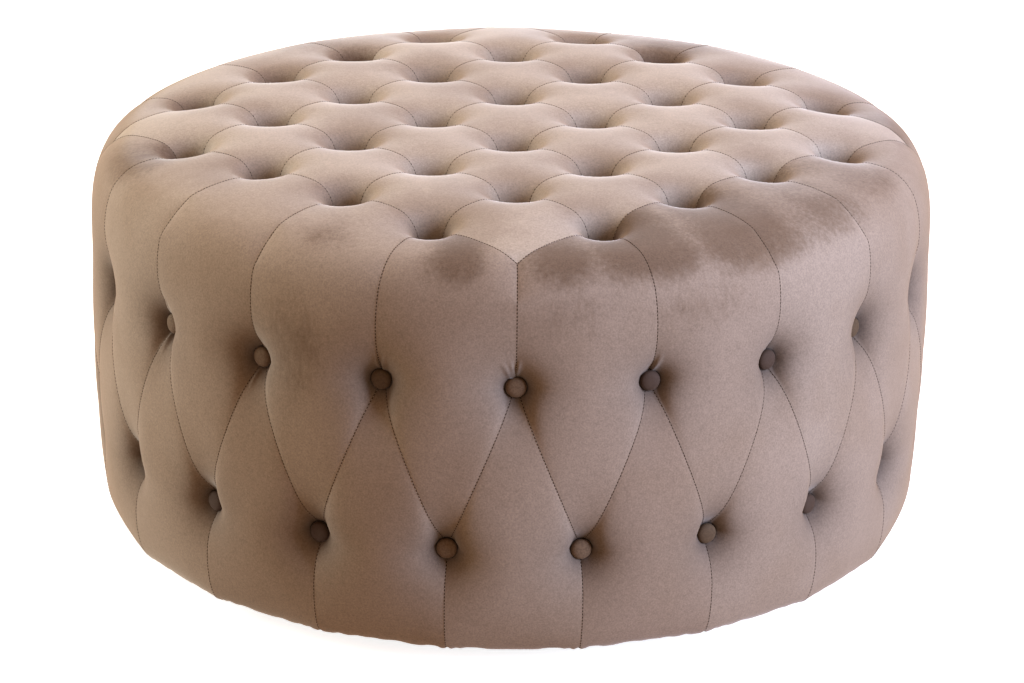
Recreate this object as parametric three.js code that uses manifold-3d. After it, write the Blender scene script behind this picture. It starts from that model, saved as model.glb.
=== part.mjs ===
// Round button-tufted velvet ottoman, about 900 mm across and 450 mm high, in millimetres with +Z up.
// The origin is on the floor under the middle. The front is towards -Y.
// A drum of plywood and posts carries a foam top and a foam band, wrapped in sewn velvet panels.
// Covered buttons pull the velvet down on twine that is tied inside the drum.
import * as THREE from "three";
import { mergeVertices } from "three/addons/utils/BufferGeometryUtils.js";
import Module from "manifold-3d";

const wasm = await Module();
wasm.setup();

// Driving dimensions
const OVERALL_RADIUS = 450; // widest part of the padded side
const OVERALL_HEIGHT = 450; // floor to the crest of the top
const CLEARANCE = 0.3; // between pieces that touch

// Tufting
const GRID = 5; // the top is a square of 5 by 5 diamonds, standing on one corner
const SIDE_CORNER_INSET = 20; // the square's left and right corners, in from the widest part
const FRONT_CORNER_INSET = 32.5; // its front and back corners, in from the widest part
const UPPER_ROW_DROP = 146; // upper row of side buttons, below the crest
const LOWER_ROW_Z = 129;
const BUTTON_RADIUS = 11;
const BUTTON_THICKNESS = 8;
const BUTTON_DOME = 0.7; // radius of the dome's flat crown, as a share of the button's
const SIDE_BUTTON_DEPTH = 16; // button face below the widest part of the side
const TOP_BUTTON_DEPTH = 42; // button face below the crest
const TUFT_HOLE_GAP = 1.5; // between a button and the hole cored for it
const TWINE = 3;
const TWINE_NECK = 0.5; // radius of a strand under its button, as a share of TWINE
const TWINE_HOLE_GAP = 1.33; // round a strand, in its hole
const HOLE_FACETS = 6;
const TWINE_HOLE_FACETS = 4;
const BUTTON_FACETS = 8;

// Velvet cover
const VELVET = 3; // velvet with its backing and wadding
const SEAM = 0.4; // gap between two sewn panels
const BOTTOM_TUCK = 23; // how far the side draws in at its bottom edge
const TUCK_HEIGHT = 150;
const SHOULDER_HEIGHT = 90;
const SHOULDER_WIDTH = 40;
const SHOULDER_POWER = 2.5; // 2 is a round shoulder, and more is squarer
const CROWN_RISE = 20; // from the shoulder's top to the crest
const CROWN_WIDTH = 160;
const HEM_WIDTH = 42; // velvet turned under the frame

// Frame and fittings
const SIDE_PADDING = 45; // widest part of the side to the wall
const TOP_PADDING = 85; // crest to the top board
const WALL = 5;
const TOP_BOARD = 15;
const BASE_BOARD = 18;
const BASE_RING_WIDTH = 100;
const POSTS = 8;
const POST = 45;
const WALL_PANELS = 4;
const DUST_COVER = 1;
const DUST_COVER_OVERLAP = 15; // onto the hem
const FEET = 6;
const FOOT_RADIUS = 25;
const FOOT_HEIGHT = 13;
const FOOT_CHAMFER = 2;
const FOOT_RECESS_DEPTH = 6;
const FOOT_RECESS_GAP = 1; // round the screw's head
const SCREW_RADIUS = 2;
const SCREW_HEAD_RADIUS = 4.5;
const SCREW_HEAD = 3;
const SCREW_LENGTH = 24;
const SCREW_TIP = 4;

// Levels and radii that follow from them
const dustCoverZ = FOOT_HEIGHT + CLEARANCE;
const hemZ = dustCoverZ + DUST_COVER + CLEARANCE;
const baseZ = hemZ + VELVET + CLEARANCE;
const topBoardTop = OVERALL_HEIGHT - TOP_PADDING;
const topBoardZ = topBoardTop - TOP_BOARD;
const wallOuter = OVERALL_RADIUS - SIDE_PADDING;
const wallInner = wallOuter - WALL;
const boardRadius = wallInner - CLEARANCE;
const bottomRadius = OVERALL_RADIUS - BOTTOM_TUCK;
const hemInner = bottomRadius - HEM_WIDTH;
const dustCoverRadius = hemInner + DUST_COVER_OVERLAP;
const baseInner = boardRadius - BASE_RING_WIDTH;
const footCircle = (hemInner + baseInner) / 2;
const sidePanels = 4 * GRID; // one for each diamond's edge round the square, with a button in each side row
const drumFacets = 2 * sidePanels;
const panelAngle = (2 * Math.PI) / sidePanels;
const tuftWidth = (2 * (OVERALL_RADIUS - SIDE_CORNER_INSET)) / GRID; // from button to button along X
const tuftDepth = (2 * (OVERALL_RADIUS - FRONT_CORNER_INSET)) / GRID; // from button to button along Y
const tuftHole = (BUTTON_RADIUS + TUFT_HOLE_GAP) / Math.cos(Math.PI / HOLE_FACETS);
const twineHole = (TWINE * TWINE_NECK + TWINE_HOLE_GAP) / Math.cos(Math.PI / TWINE_HOLE_FACETS);
const upperRowZ = OVERALL_HEIGHT - UPPER_ROW_DROP;
const sideButtonFace = OVERALL_RADIUS - SIDE_BUTTON_DEPTH;
const topButtonFace = OVERALL_HEIGHT - TOP_BUTTON_DEPTH;
const twineRingRadius = wallInner - CLEARANCE - TWINE;
const strandReach = TWINE * Math.SQRT1_2; // half the diagonal of a square strand
const twineNetZ = topBoardZ - CLEARANCE - strandReach;
// The twine's chords from button to button pass inside the ring, so the posts stand clear of them.
const postCorner = (twineRingRadius - TWINE) * Math.cos(panelAngle / 2);
const postCentre = Math.sqrt(postCorner ** 2 - (POST / 2) ** 2) - POST / 2;

// Finishes
const finish = (color, roughness) => new THREE.MeshStandardMaterial({ color, roughness, metalness: 0 });
const velvet = finish(0xae9689, 0.9);
const buttonVelvet = finish(0x8f7669, 0.9);
const foam = finish(0xe6dfc4, 1);
const plywood = finish(0xcaa777, 0.7);
const timber = finish(0xd3b384, 0.75);
const blackCloth = finish(0x1c1c1e, 0.95);
const blackPlastic = finish(0x151515, 0.5);
const steel = new THREE.MeshStandardMaterial({ color: 0xb9bcc0, roughness: 0.35, metalness: 1 });

// A closed geometry as a manifold-3d solid, with shared vertices merged and empty triangles dropped.
function solid(geometry) {
  const bare = geometry.clone();
  bare.deleteAttribute("normal");
  bare.deleteAttribute("uv");
  const merged = mergeVertices(bare, 1e-4);
  const index = merged.index.array;
  const kept = [];
  for (let i = 0; i < index.length; i += 3) {
    const [a, b, c] = [index[i], index[i + 1], index[i + 2]];
    if (a !== b && b !== c && c !== a) kept.push(a, b, c);
  }
  return new wasm.Manifold(
    new wasm.Mesh({
      numProp: 3,
      vertProperties: merged.attributes.position.array,
      triVerts: new Uint32Array(kept),
    }),
  );
}

// A manifold-3d solid as a geometry that three.js draws.
function geometryOf(shape) {
  const mesh = shape.getMesh();
  const geometry = new THREE.BufferGeometry();
  geometry.setAttribute("position", new THREE.BufferAttribute(mesh.vertProperties, 3));
  geometry.setIndex(new THREE.BufferAttribute(mesh.triVerts, 1));
  geometry.computeVertexNormals();
  return geometry;
}

const join = (shapes) => shapes.reduce((whole, shape) => whole.add(shape));
const cut = (body, tools) => (tools.length ? body.subtract(join(tools)) : body);

// A profile of [radius, height] points turned about the vertical axis. It runs anticlockwise, seen from -Y.
function turned(profile, facets = drumFacets) {
  const points = profile.map(([radius, height]) => new THREE.Vector2(radius, height));
  return new THREE.LatheGeometry(points, facets).rotateX(Math.PI / 2);
}

// A ring with a rectangular section.
function ring(inner, outer, low, high, facets = drumFacets) {
  return turned([[inner, low], [outer, low], [outer, high], [inner, high], [inner, low]], facets);
}

// A plain disc.
const disc = (radius, low, high) => turned([[0, low], [radius, low], [radius, high], [0, high]]);

// A flat polygon of [x, y] points raised from low to high.
function prism(points, low, high) {
  const outline = new THREE.Shape(points.map(([x, y]) => new THREE.Vector2(x, y)));
  return new THREE.ExtrudeGeometry(outline, { depth: high - low, bevelEnabled: false }).translate(0, 0, low);
}

// A cylinder whose axis runs from one point to another.
function rod(from, to, radius, sides) {
  const along = new THREE.Vector3().subVectors(to, from);
  const geometry = new THREE.CylinderGeometry(radius, radius, along.length(), sides);
  const yAxis = new THREE.Vector3(0, 1, 0);
  geometry.applyQuaternion(new THREE.Quaternion().setFromUnitVectors(yAxis, along.clone().normalize()));
  return geometry.translate(...new THREE.Vector3().addVectors(from, to).multiplyScalar(0.5).toArray());
}

// Angle 0 faces the front, and angles grow towards +X.
function onDrum(angle, radius, height) {
  return new THREE.Vector3(radius * Math.sin(angle), -radius * Math.cos(angle), height);
}

// Outline of the padded body from its bottom edge to the crest, drawn in by a depth.
function bodyOutline(depth) {
  const outline = [];
  const lowSteps = 3;
  for (let i = 0; i <= lowSteps; i++) {
    const t = ((i / lowSteps) * Math.PI) / 2;
    outline.push([bottomRadius + BOTTOM_TUCK * Math.sin(t), hemZ + TUCK_HEIGHT * (1 - Math.cos(t))]);
  }
  const shoulderTop = OVERALL_HEIGHT - CROWN_RISE;
  const shoulderSteps = 4;
  for (let i = 0; i <= shoulderSteps; i++) {
    const t = ((i / shoulderSteps) * Math.PI) / 2;
    outline.push([
      OVERALL_RADIUS - SHOULDER_WIDTH * (1 - Math.cos(t) ** (2 / SHOULDER_POWER)),
      shoulderTop - SHOULDER_HEIGHT * (1 - Math.sin(t) ** (2 / SHOULDER_POWER)),
    ]);
  }
  const crownSteps = 2;
  for (let i = 1; i <= crownSteps; i++) {
    const t = i / crownSteps;
    outline.push([
      OVERALL_RADIUS - SHOULDER_WIDTH - CROWN_WIDTH * t,
      shoulderTop + CROWN_RISE * (1 - (1 - t) ** 2),
    ]);
  }
  outline.push([0, OVERALL_HEIGHT]);
  return outline.map((point, i) => {
    const before = outline[Math.max(i - 1, 0)];
    const after = outline[Math.min(i + 1, outline.length - 1)];
    const [dr, dz] = [after[0] - before[0], after[1] - before[1]];
    const length = Math.hypot(dr, dz);
    const radius = i === outline.length - 1 ? 0 : point[0] - (depth * dz) / length;
    return [radius, i >= outline.length - 2 ? point[1] - depth : point[1] + (depth * dr) / length];
  });
}

// A straight-sided slot from one [x, y] point to another, reaching as far to each side and past each end.
function slot([x0, y0], [x1, y1], reach, low, high) {
  const length = Math.hypot(x1 - x0, y1 - y0);
  const [ax, ay] = [((x1 - x0) / length) * reach, ((y1 - y0) / length) * reach];
  const corners = [
    [x0 - ax + ay, y0 - ay - ax],
    [x1 + ax + ay, y1 + ay - ax],
    [x1 + ax - ay, y1 + ay + ax],
    [x0 - ax - ay, y0 - ay + ax],
  ];
  return solid(prism(corners, low, high));
}

// The part of an outline above a level, from the level up.
function above(outline, level) {
  const first = outline.findIndex(([, z]) => z > level);
  if (first < 1) return outline;
  const [[r0, z0], [r1, z1]] = [outline[first - 1], outline[first]];
  const share = (level - z0) / (z1 - z0);
  return [[r0 + share * (r1 - r0), level], ...outline.slice(first)];
}

// The part of an outline below a level, up to the level.
function below(outline, level) {
  const first = outline.findIndex(([, z]) => z > level);
  return [...outline.slice(0, first), above(outline, level)[0]];
}

// Where the diamonds meet on the top: GRID + 1 points each way. The four corners hold no button.
const tufts = [];
for (let a = 0; a <= GRID; a++) {
  for (let b = 0; b <= GRID; b++) {
    const corner = (a === 0 || a === GRID) && (b === 0 || b === GRID);
    const [x, y] = [((a - b) * tuftWidth) / 2, ((a + b - GRID) * tuftDepth) / 2];
    tufts.push({ a, b, x, y, corner });
  }
}
const topButtons = tufts.filter(({ corner }) => !corner);

// The square's border, point by point from its front corner towards +X, one for each side seam.
const border = [];
for (let i = 0; i < sidePanels; i++) {
  const side = Math.floor(i / GRID);
  const step = i % GRID;
  const [a, b] = [[step, 0], [GRID, step], [GRID - step, GRID], [0, GRID - step]][side];
  const tuft = tufts.find((t) => t.a === a && t.b === b);
  border.push([tuft.x, tuft.y]);
}

const object = new THREE.Group();
function add(name, geometry, material) {
  const mesh = new THREE.Mesh(geometry, material);
  mesh.name = name;
  object.add(mesh);
  return mesh;
}

// The side buttons stand at these angles, the lower row half a panel round from the upper.
const sideRows = [
  { name: "upper_side_buttons", height: upperRowZ, start: 0 },
  { name: "lower_side_buttons", height: LOWER_ROW_Z, start: panelAngle / 2 },
];
const farOut = 2 * OVERALL_RADIUS;
const sideBores = (radius, sides) =>
  sideRows.flatMap(({ height, start }) =>
    Array.from({ length: sidePanels }, (_, i) => {
      const angle = start + i * panelAngle;
      return solid(rod(onDrum(angle, wallInner / 2, height), onDrum(angle, farOut, height), radius, sides));
    }),
  );
const topBores = (radius, sides) =>
  topButtons.map(({ x, y }) =>
    solid(rod(new THREE.Vector3(x, y, 0), new THREE.Vector3(x, y, farOut), radius, sides)),
  );

// Base board: a plywood ring with a pilot hole over each foot.
const footAngles = Array.from({ length: FEET }, (_, i) => ((i + 0.5) * 2 * Math.PI) / FEET);
const screwBores = footAngles.map((angle) =>
  solid(rod(onDrum(angle, footCircle, 0), onDrum(angle, footCircle, topBoardZ), SCREW_RADIUS + CLEARANCE, 8)),
);
const baseTop = baseZ + BASE_BOARD;
add("base_board", geometryOf(cut(solid(ring(baseInner, boardRadius, baseZ, baseTop)), screwBores)), plywood);

// Top board: a plywood disc drilled for the twine of every top button.
const topDisc = solid(disc(boardRadius, topBoardZ, topBoardTop));
add("top_board", geometryOf(cut(topDisc, topBores(twineHole, TWINE_HOLE_FACETS))), plywood);

// The top's twine runs along each row under the board, and steps to the next row at alternate ends.
const rows = Array.from({ length: 2 * GRID + 1 }, (_, row) =>
  topButtons.filter(({ a, b }) => a + b === row).sort((p, q) => p.x - q.x),
).filter((row) => row.length > 0);
const topKnot = ({ x, y }) => new THREE.Vector3(x, y, twineNetZ);
const topRuns = rows.flatMap((row, i) => {
  const along = [topKnot(row[0]), topKnot(row.at(-1))];
  if (i === 0) return [along];
  const end = -(i % 2);
  return [along, [topKnot(rows[i - 1].at(end)), topKnot(row.at(end))]];
});

// Posts between the two boards. Each stands halfway between two twine holes, clear of both, and is
// notched at the top where a run of twine crosses it.
const postAngle = (i) => (Math.floor((i * 2 * sidePanels) / POSTS) + 0.5) * (panelAngle / 2);
const postHeight = topBoardZ - baseTop - 2 * CLEARANCE;
const notchReach = strandReach + 2 * CLEARANCE;
const notchFloor = twineNetZ - notchReach;
const notches = join(
  topRuns.map(([from, to]) => slot([from.x, from.y], [to.x, to.y], notchReach, notchFloor, topBoardZ)),
);
for (let i = 0; i < POSTS; i++) {
  const place = onDrum(postAngle(i), postCentre, baseTop + CLEARANCE + postHeight / 2);
  const block = new THREE.BoxGeometry(POST, POST, postHeight).rotateZ(postAngle(i));
  const post = block.translate(...place.toArray());
  add(`post_${i + 1}`, geometryOf(solid(post).subtract(notches)), timber);
}

// Wall: bendy plywood panels round the edges of both boards, drilled for the side buttons' twine.
// The panels meet over a post.
const wallTube = solid(ring(wallInner, wallOuter, baseZ, topBoardTop));
const wall = cut(wallTube, sideBores(twineHole, TWINE_HOLE_FACETS));
const wallJoint = (i) => postAngle(Math.round((i * POSTS) / WALL_PANELS));
for (let i = 0; i < WALL_PANELS; i++) {
  const [from, to] = [wallJoint(i), wallJoint(i + 1)];
  const trim = CLEARANCE / 2 / wallOuter;
  const corners = [from + trim, (from + to) / 2, to - trim].map((angle) => {
    const point = onDrum(angle, farOut, 0);
    return [point.x, point.y];
  });
  const quarter = solid(prism([[0, 0], ...corners], 0, OVERALL_HEIGHT));
  add(`wall_panel_${i + 1}`, geometryOf(wall.intersect(quarter)), plywood);
}

// Foam: a slab with the shoulder on the top board, and a band round the wall, cored at every button.
const foamOutline = bodyOutline(VELVET + CLEARANCE);
const slabZ = topBoardTop + CLEARANCE;
const slab = solid(turned([[0, slabZ], ...above(foamOutline, slabZ)]));
add("top_foam", geometryOf(cut(slab, topBores(tuftHole, HOLE_FACETS))), foam);
const bandInner = wallOuter + CLEARANCE;
const bandOutline = below(above(foamOutline, baseZ), topBoardTop);
const bandSection = [[bandInner, baseZ], ...bandOutline, [bandInner, topBoardTop], [bandInner, baseZ]];
const band = solid(turned(bandSection));
add("side_foam", geometryOf(cut(band, sideBores(tuftHole, HOLE_FACETS))), foam);

// Velvet: one skin, cut along its seams into the square top and the side panels.
const outside = bodyOutline(0);
const inside = bodyOutline(VELVET);
const innerHem = [hemInner, hemZ + VELVET];
const insideAboveHem = above(inside, hemZ + VELVET);
const skin = cut(
  solid(turned([...insideAboveHem.toReversed(), innerHem, [hemInner, hemZ], ...outside])),
  [...topBores(tuftHole, HOLE_FACETS), ...sideBores(tuftHole, HOLE_FACETS)],
);
const squareCorners = [0, GRID, 2 * GRID, 3 * GRID].map((i) => border[i]);
const shrink = (points, by) =>
  points.map(([x, y]) => {
    const length = Math.hypot(x, y);
    return [(x * (length - by)) / length, (y * (length - by)) / length];
  });
const seamReach = SEAM * Math.SQRT1_2;
const topSquare = solid(prism(shrink(squareCorners, seamReach), topBoardTop, farOut));
add("velvet_top", geometryOf(skin.intersect(topSquare)), velvet);

// Each side seam runs straight in plan from its border point to the drum's side, and then down.
const seamEnds = border.map((point, i) => {
  const far = onDrum(i * panelAngle, farOut, 0);
  return [point, [far.x, far.y]];
});
const knives = seamEnds.flatMap(([inner, outer]) => [
  slot([0, 0], inner, SEAM / 2, 0, farOut),
  slot(inner, outer, SEAM / 2, 0, farOut),
]);
const squareOutside = solid(prism(shrink(squareCorners, -seamReach), topBoardTop, farOut));
const sideSkin = cut(skin.subtract(squareOutside), knives);
for (let i = 0; i < sidePanels; i++) {
  const [innerA, outerA] = seamEnds[i];
  const [innerB, outerB] = seamEnds[(i + 1) % sidePanels];
  const sector = solid(prism([[0, 0], innerA, outerA, outerB, innerB], 0, farOut));
  const number = String(i + 1).padStart(2, "0");
  add(`velvet_side_panel_${number}`, geometryOf(sideSkin.intersect(sector)), velvet);
}

// Buttons: each is a covered dome on a strand of twine, and one length of twine ties a whole set.
const buttonProfile = [
  [0, 0],
  [BUTTON_RADIUS, 0],
  [BUTTON_RADIUS * BUTTON_DOME, BUTTON_THICKNESS],
  [0, BUTTON_THICKNESS],
];

// A button with its back at a point, facing outward, and its twine down to a knot.
function tiedButton(face, outward, knot) {
  const turn = new THREE.Quaternion().setFromUnitVectors(new THREE.Vector3(0, 0, 1), outward);
  const back = face.clone().addScaledVector(outward, -BUTTON_THICKNESS);
  const dome = solid(turned(buttonProfile, BUTTON_FACETS).applyQuaternion(turn).translate(...back.toArray()));
  const inButton = back.clone().addScaledVector(outward, BUTTON_THICKNESS / 2);
  return dome.add(solid(rod(inButton, knot, TWINE * TWINE_NECK, 4)));
}

const up = new THREE.Vector3(0, 0, 1);
const topSet = topButtons.map((tuft) => {
  return tiedButton(new THREE.Vector3(tuft.x, tuft.y, topButtonFace), up, topKnot(tuft));
});
const topTwine = topRuns.map(([from, to]) => solid(rod(from, to, strandReach, 4)));
add("top_buttons", geometryOf(join([...topSet, ...topTwine])), buttonVelvet);

for (const { name, height, start } of sideRows) {
  const buttons = Array.from({ length: sidePanels }, (_, i) => {
    const angle = start + i * panelAngle;
    const knot = onDrum(angle, twineRingRadius, height);
    return tiedButton(onDrum(angle, sideButtonFace, height), onDrum(angle, 1, 0), knot);
  });
  const [inner, outer] = [twineRingRadius - TWINE / 2, twineRingRadius + TWINE / 2];
  const loop = ring(inner, outer, height - TWINE / 2, height + TWINE / 2, sidePanels);
  add(name, geometryOf(join([...buttons, solid(loop.rotateZ(start))])), buttonVelvet);
}

// Dust cover: black cloth stapled under the frame, over the edge of the hem.
const cloth = solid(disc(dustCoverRadius, dustCoverZ, dustCoverZ + DUST_COVER));
add("dust_cover", geometryOf(cut(cloth, screwBores)), blackCloth);

// Feet: moulded glides with a recess for a screw that goes up into the base board.
const bore = SCREW_RADIUS + CLEARANCE;
const recess = SCREW_HEAD_RADIUS + FOOT_RECESS_GAP;
const footProfile = [
  [bore, FOOT_RECESS_DEPTH],
  [recess, FOOT_RECESS_DEPTH],
  [recess, 0],
  [FOOT_RADIUS - FOOT_CHAMFER, 0],
  [FOOT_RADIUS, FOOT_CHAMFER],
  [FOOT_RADIUS, FOOT_HEIGHT],
  [bore, FOOT_HEIGHT],
  [bore, FOOT_RECESS_DEPTH],
];
const headZ = FOOT_RECESS_DEPTH - CLEARANCE;
const screwProfile = [
  [0, headZ - SCREW_HEAD],
  [SCREW_HEAD_RADIUS, headZ - SCREW_HEAD],
  [SCREW_HEAD_RADIUS, headZ],
  [SCREW_RADIUS, headZ],
  [SCREW_RADIUS, headZ + SCREW_LENGTH - SCREW_TIP],
  [0, headZ + SCREW_LENGTH],
];
footAngles.forEach((angle, i) => {
  const place = onDrum(angle, footCircle, 0);
  add(`foot_${i + 1}`, turned(footProfile, 16), blackPlastic).position.copy(place);
  add(`foot_screw_${i + 1}`, turned(screwProfile, 8), steel).position.copy(place);
});

export default object;
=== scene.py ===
# %% [markdown]
# # A round ottoman in deep-buttoned velvet
#
# The hard parts of this ottoman, its boards, posts, feet and screws, come ready made in a fixed frame.
# This lesson makes what covers them: 65 sewn velvet panels pulled down by 72 covered buttons, the foam
# underneath, the thread in the seams and the cloth under the base. It ends with the finishes, the light
# and the camera.

# %% Load the fixed frame
import math

import bmesh
import bpy
import numpy as np
from mathutils import Matrix, Vector


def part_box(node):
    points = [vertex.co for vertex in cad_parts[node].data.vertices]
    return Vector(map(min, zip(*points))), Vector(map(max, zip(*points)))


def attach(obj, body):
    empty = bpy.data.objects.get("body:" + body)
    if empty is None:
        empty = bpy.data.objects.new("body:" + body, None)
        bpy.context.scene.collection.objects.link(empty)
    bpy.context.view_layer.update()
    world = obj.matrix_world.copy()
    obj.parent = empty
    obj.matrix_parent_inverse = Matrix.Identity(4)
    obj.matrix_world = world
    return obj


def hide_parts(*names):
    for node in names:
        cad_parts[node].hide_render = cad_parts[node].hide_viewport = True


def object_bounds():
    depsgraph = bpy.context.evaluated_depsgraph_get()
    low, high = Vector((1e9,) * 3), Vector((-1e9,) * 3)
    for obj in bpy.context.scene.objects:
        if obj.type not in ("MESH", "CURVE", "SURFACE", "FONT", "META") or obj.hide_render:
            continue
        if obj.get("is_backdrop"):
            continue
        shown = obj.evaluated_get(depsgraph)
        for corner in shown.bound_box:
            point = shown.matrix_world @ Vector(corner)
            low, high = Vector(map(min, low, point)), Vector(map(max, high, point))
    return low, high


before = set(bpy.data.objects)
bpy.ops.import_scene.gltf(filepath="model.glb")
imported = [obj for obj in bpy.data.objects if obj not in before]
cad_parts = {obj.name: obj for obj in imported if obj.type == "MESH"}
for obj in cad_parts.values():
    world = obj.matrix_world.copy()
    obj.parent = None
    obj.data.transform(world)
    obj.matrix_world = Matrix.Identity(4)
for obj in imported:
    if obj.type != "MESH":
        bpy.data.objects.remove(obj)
frame_low, frame_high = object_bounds()
print("frame:", len(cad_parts), "nodes,", [round(v, 3) for v in frame_high - frame_low], "m")

# %% [markdown]
# Everything is in metres. The overall sizes and the places of the buttons are read from the frame, so
# the cover always fits it. The front of the drum faces -Y. Angle 0 is the front, and angles grow
# towards +X, as they do in the frame.

# %% Sizes
MM = 0.001
GRID = 5  # the top is a square of 5 by 5 diamonds that stands on one corner
PANELS = 4 * GRID
STEP = 2 * math.pi / PANELS
BUTTON_RADIUS = 11 * MM
BUTTON_THICKNESS = 8 * MM

widest = frame_high.x
crest = frame_high.z
hem_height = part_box("velvet_side_panel_01")[0].z
board_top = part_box("top_board")[1].z
wall_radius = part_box("top_board")[1].x
top_set_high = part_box("top_buttons")[1]
upper_low, upper_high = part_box("upper_side_buttons")
lower_low, lower_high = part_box("lower_side_buttons")
tuft_width = 2 * (top_set_high.x - BUTTON_RADIUS) / (GRID - 1)
tuft_depth = 2 * (top_set_high.y - BUTTON_RADIUS) / (GRID - 1)
top_button_face = top_set_high.z
side_button_face = upper_high.x
upper_row = (upper_low.z + upper_high.z) / 2
lower_row = (lower_low.z + lower_high.z) / 2
print("tufts and rows:", [round(v, 3) for v in (tuft_width, tuft_depth, upper_row, lower_row)], "m")

# %% [markdown]
# ## The outline of the padding
#
# If nothing pulled on it, the cover would be a smooth drum: a nearly flat crown, a tight shoulder, a
# straight side that draws in a little at the bottom, and a hem turned under. That outline could be a
# curve object. It is made here as a list of points, because the cover needs to know its radius, height
# and outward direction at any distance along it.

# %% Outline, from the middle of the top outwards, down and under
CROWN_FLAT = 250 * MM
CROWN_RISE = 20 * MM
SHOULDER_WIDTH = 40 * MM
SHOULDER_HEIGHT = 90 * MM
SHOULDER_POWER = 2.5  # 2 is a round shoulder, and more is squarer
BOTTOM_TUCK = 23 * MM
TUCK_HEIGHT = 150 * MM
HEM_WIDTH = 42 * MM
PUFF = 3 * MM  # how far the padding would swell past the nominal outline if no seam held it
OUTLINE_STEP = 1 * MM
OUTLINE_SOFTNESS = 13  # in outline steps
TURNED_UNDER = 12 * MM  # an outline this far inside the drawn-in bottom belongs to the hem
HEM_TURN = 5 * MM  # the side ends this far above the hem


def drum_outline():
    """Points of (radius, height), one outline step apart."""
    turn = np.linspace(0, math.pi / 2, 200)
    fall = np.linspace(0, 1, 100)
    crown_edge = widest - SHOULDER_WIDTH
    shoulder_top = crest - CROWN_RISE
    crown = np.column_stack((CROWN_FLAT + (crown_edge - CROWN_FLAT) * fall, crest - CROWN_RISE * fall**2))
    across = np.sin(turn) ** (2 / SHOULDER_POWER)
    down = 1 - np.cos(turn) ** (2 / SHOULDER_POWER)
    shoulder = np.column_stack((crown_edge + SHOULDER_WIDTH * across, shoulder_top - SHOULDER_HEIGHT * down))
    drawn_in = widest - BOTTOM_TUCK * (1 - np.cos(turn))
    tuck = np.column_stack((drawn_in, hem_height + TUCK_HEIGHT * (1 - np.sin(turn))))
    hem = [(widest - BOTTOM_TUCK - HEM_WIDTH, hem_height)]
    rough = np.vstack([[(0, crest)], crown, shoulder, tuck, hem])
    travel = np.concatenate(([0], np.cumsum(np.linalg.norm(np.diff(rough, axis=0), axis=1))))
    even = np.arange(0, travel[-1], OUTLINE_STEP)
    return np.column_stack([np.interp(even, travel, rough[:, i]) for i in range(2)])


def softened(line, softness):
    """The line with its corners eased by a bell-shaped average."""
    reach = 3 * softness
    bell = np.exp(-0.5 * (np.arange(-reach, reach + 1) / softness) ** 2)
    bell /= bell.sum()
    longer = np.vstack([2 * line[0] - line[reach:0:-1], line, 2 * line[-1] - line[-2 : -reach - 2 : -1]])
    return np.column_stack([np.convolve(longer[:, i], bell, mode="valid") for i in range(2)])


outline = softened(drum_outline(), OUTLINE_SOFTNESS)
outline_run = np.arange(len(outline)) * OUTLINE_STEP
along = np.gradient(outline, OUTLINE_STEP, axis=0)
along /= np.linalg.norm(along, axis=1)[:, None]
outward = np.column_stack((-along[:, 1], along[:, 0]))  # as (radius, height)
widest_run = outline_run[np.argmax(outline[:, 0])]


def run_at_radius(radius):
    """The distance along the outline at a radius, on the top."""
    top = outline_run <= widest_run
    return np.interp(radius, outline[top, 0], outline_run[top])


def run_at_height(height):
    """The distance along the outline at a height, on the side."""
    past_shoulder = outline_run > run_at_radius(widest - SHOULDER_WIDTH)
    side = past_shoulder & (outline[:, 0] > widest - BOTTOM_TUCK - TURNED_UNDER)
    return np.interp(-height, -outline[side, 1], outline_run[side])


upper_run = run_at_height(upper_row)
lower_run = run_at_height(lower_row)
bottom_run = run_at_height(hem_height + HEM_TURN)
hem_run = outline_run[-1]
print("outline and rows at:", [round(float(v), 3) for v in (hem_run, upper_run, lower_run, bottom_run)], "m")

# %% [markdown]
# ## The cut pattern
#
# The real cover is cut from three shapes: 25 diamonds for the top, 20 shields that come over the
# shoulder and end in a point at the lower buttons, and 20 panels below them that turn under the base.
# A simple way to get such a grid would be to knife it into a drum. Here the pattern is laid out flat
# first, as if the drum were unrolled round the middle of its top: a point's distance from the middle is
# its distance along the outline. Each shape is filled with its own grid, and the grids share the points
# on their seams, so the cover is one closed skin whose edges already run along every seam.

# %% A grid that crowds towards its ends
CELLS = 24  # grid cells along each side of a pattern shape
SHIELD_ROWS = 36
SKIRT_ROWS = 18
HEM_ROWS = 7
CROWDING = 0.68


def spread(count):
    """Steps from 0 to 1, closer together at both ends, where the buttons are."""
    even = np.arange(count + 1) / count
    return even - CROWDING * np.sin(2 * math.pi * even) / (2 * math.pi)


pattern_points = {}
pattern_faces = []
face_panel = []


def point(angle, run):
    """The number of the pattern's point at an angle round the drum and a distance along the outline.

    Points less than a hundredth of a millimetre apart are one point, which joins the pieces at their seams.
    """
    flat = (run * math.sin(angle), -run * math.cos(angle))
    key = (round(flat[0] * 1e5), round(flat[1] * 1e5))
    return pattern_points.setdefault(key, len(pattern_points))


def add_face(panel, *corners):
    pattern_faces.append(corners)
    face_panel.append(panel)


def diamond_place(a, b):
    """The angle and run of a place on the top, where a and b count diamonds along the two sides."""
    x = (a - b) * tuft_width / 2
    y = (a + b - GRID) * tuft_depth / 2
    return math.atan2(x, -y), float(run_at_radius(math.hypot(x, y)))


def border_place(k):
    """A place on the square's edge, from 0 at the front corner, through GRID at the right one."""
    k = k % PANELS
    side, rest = int(k // GRID), k % GRID
    return diamond_place(*[(rest, 0), (GRID, rest), (GRID - rest, GRID), (0, GRID - rest)][side])


steps = spread(CELLS)
print("steps:", [round(float(v), 3) for v in steps[:5]], "...")

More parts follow.
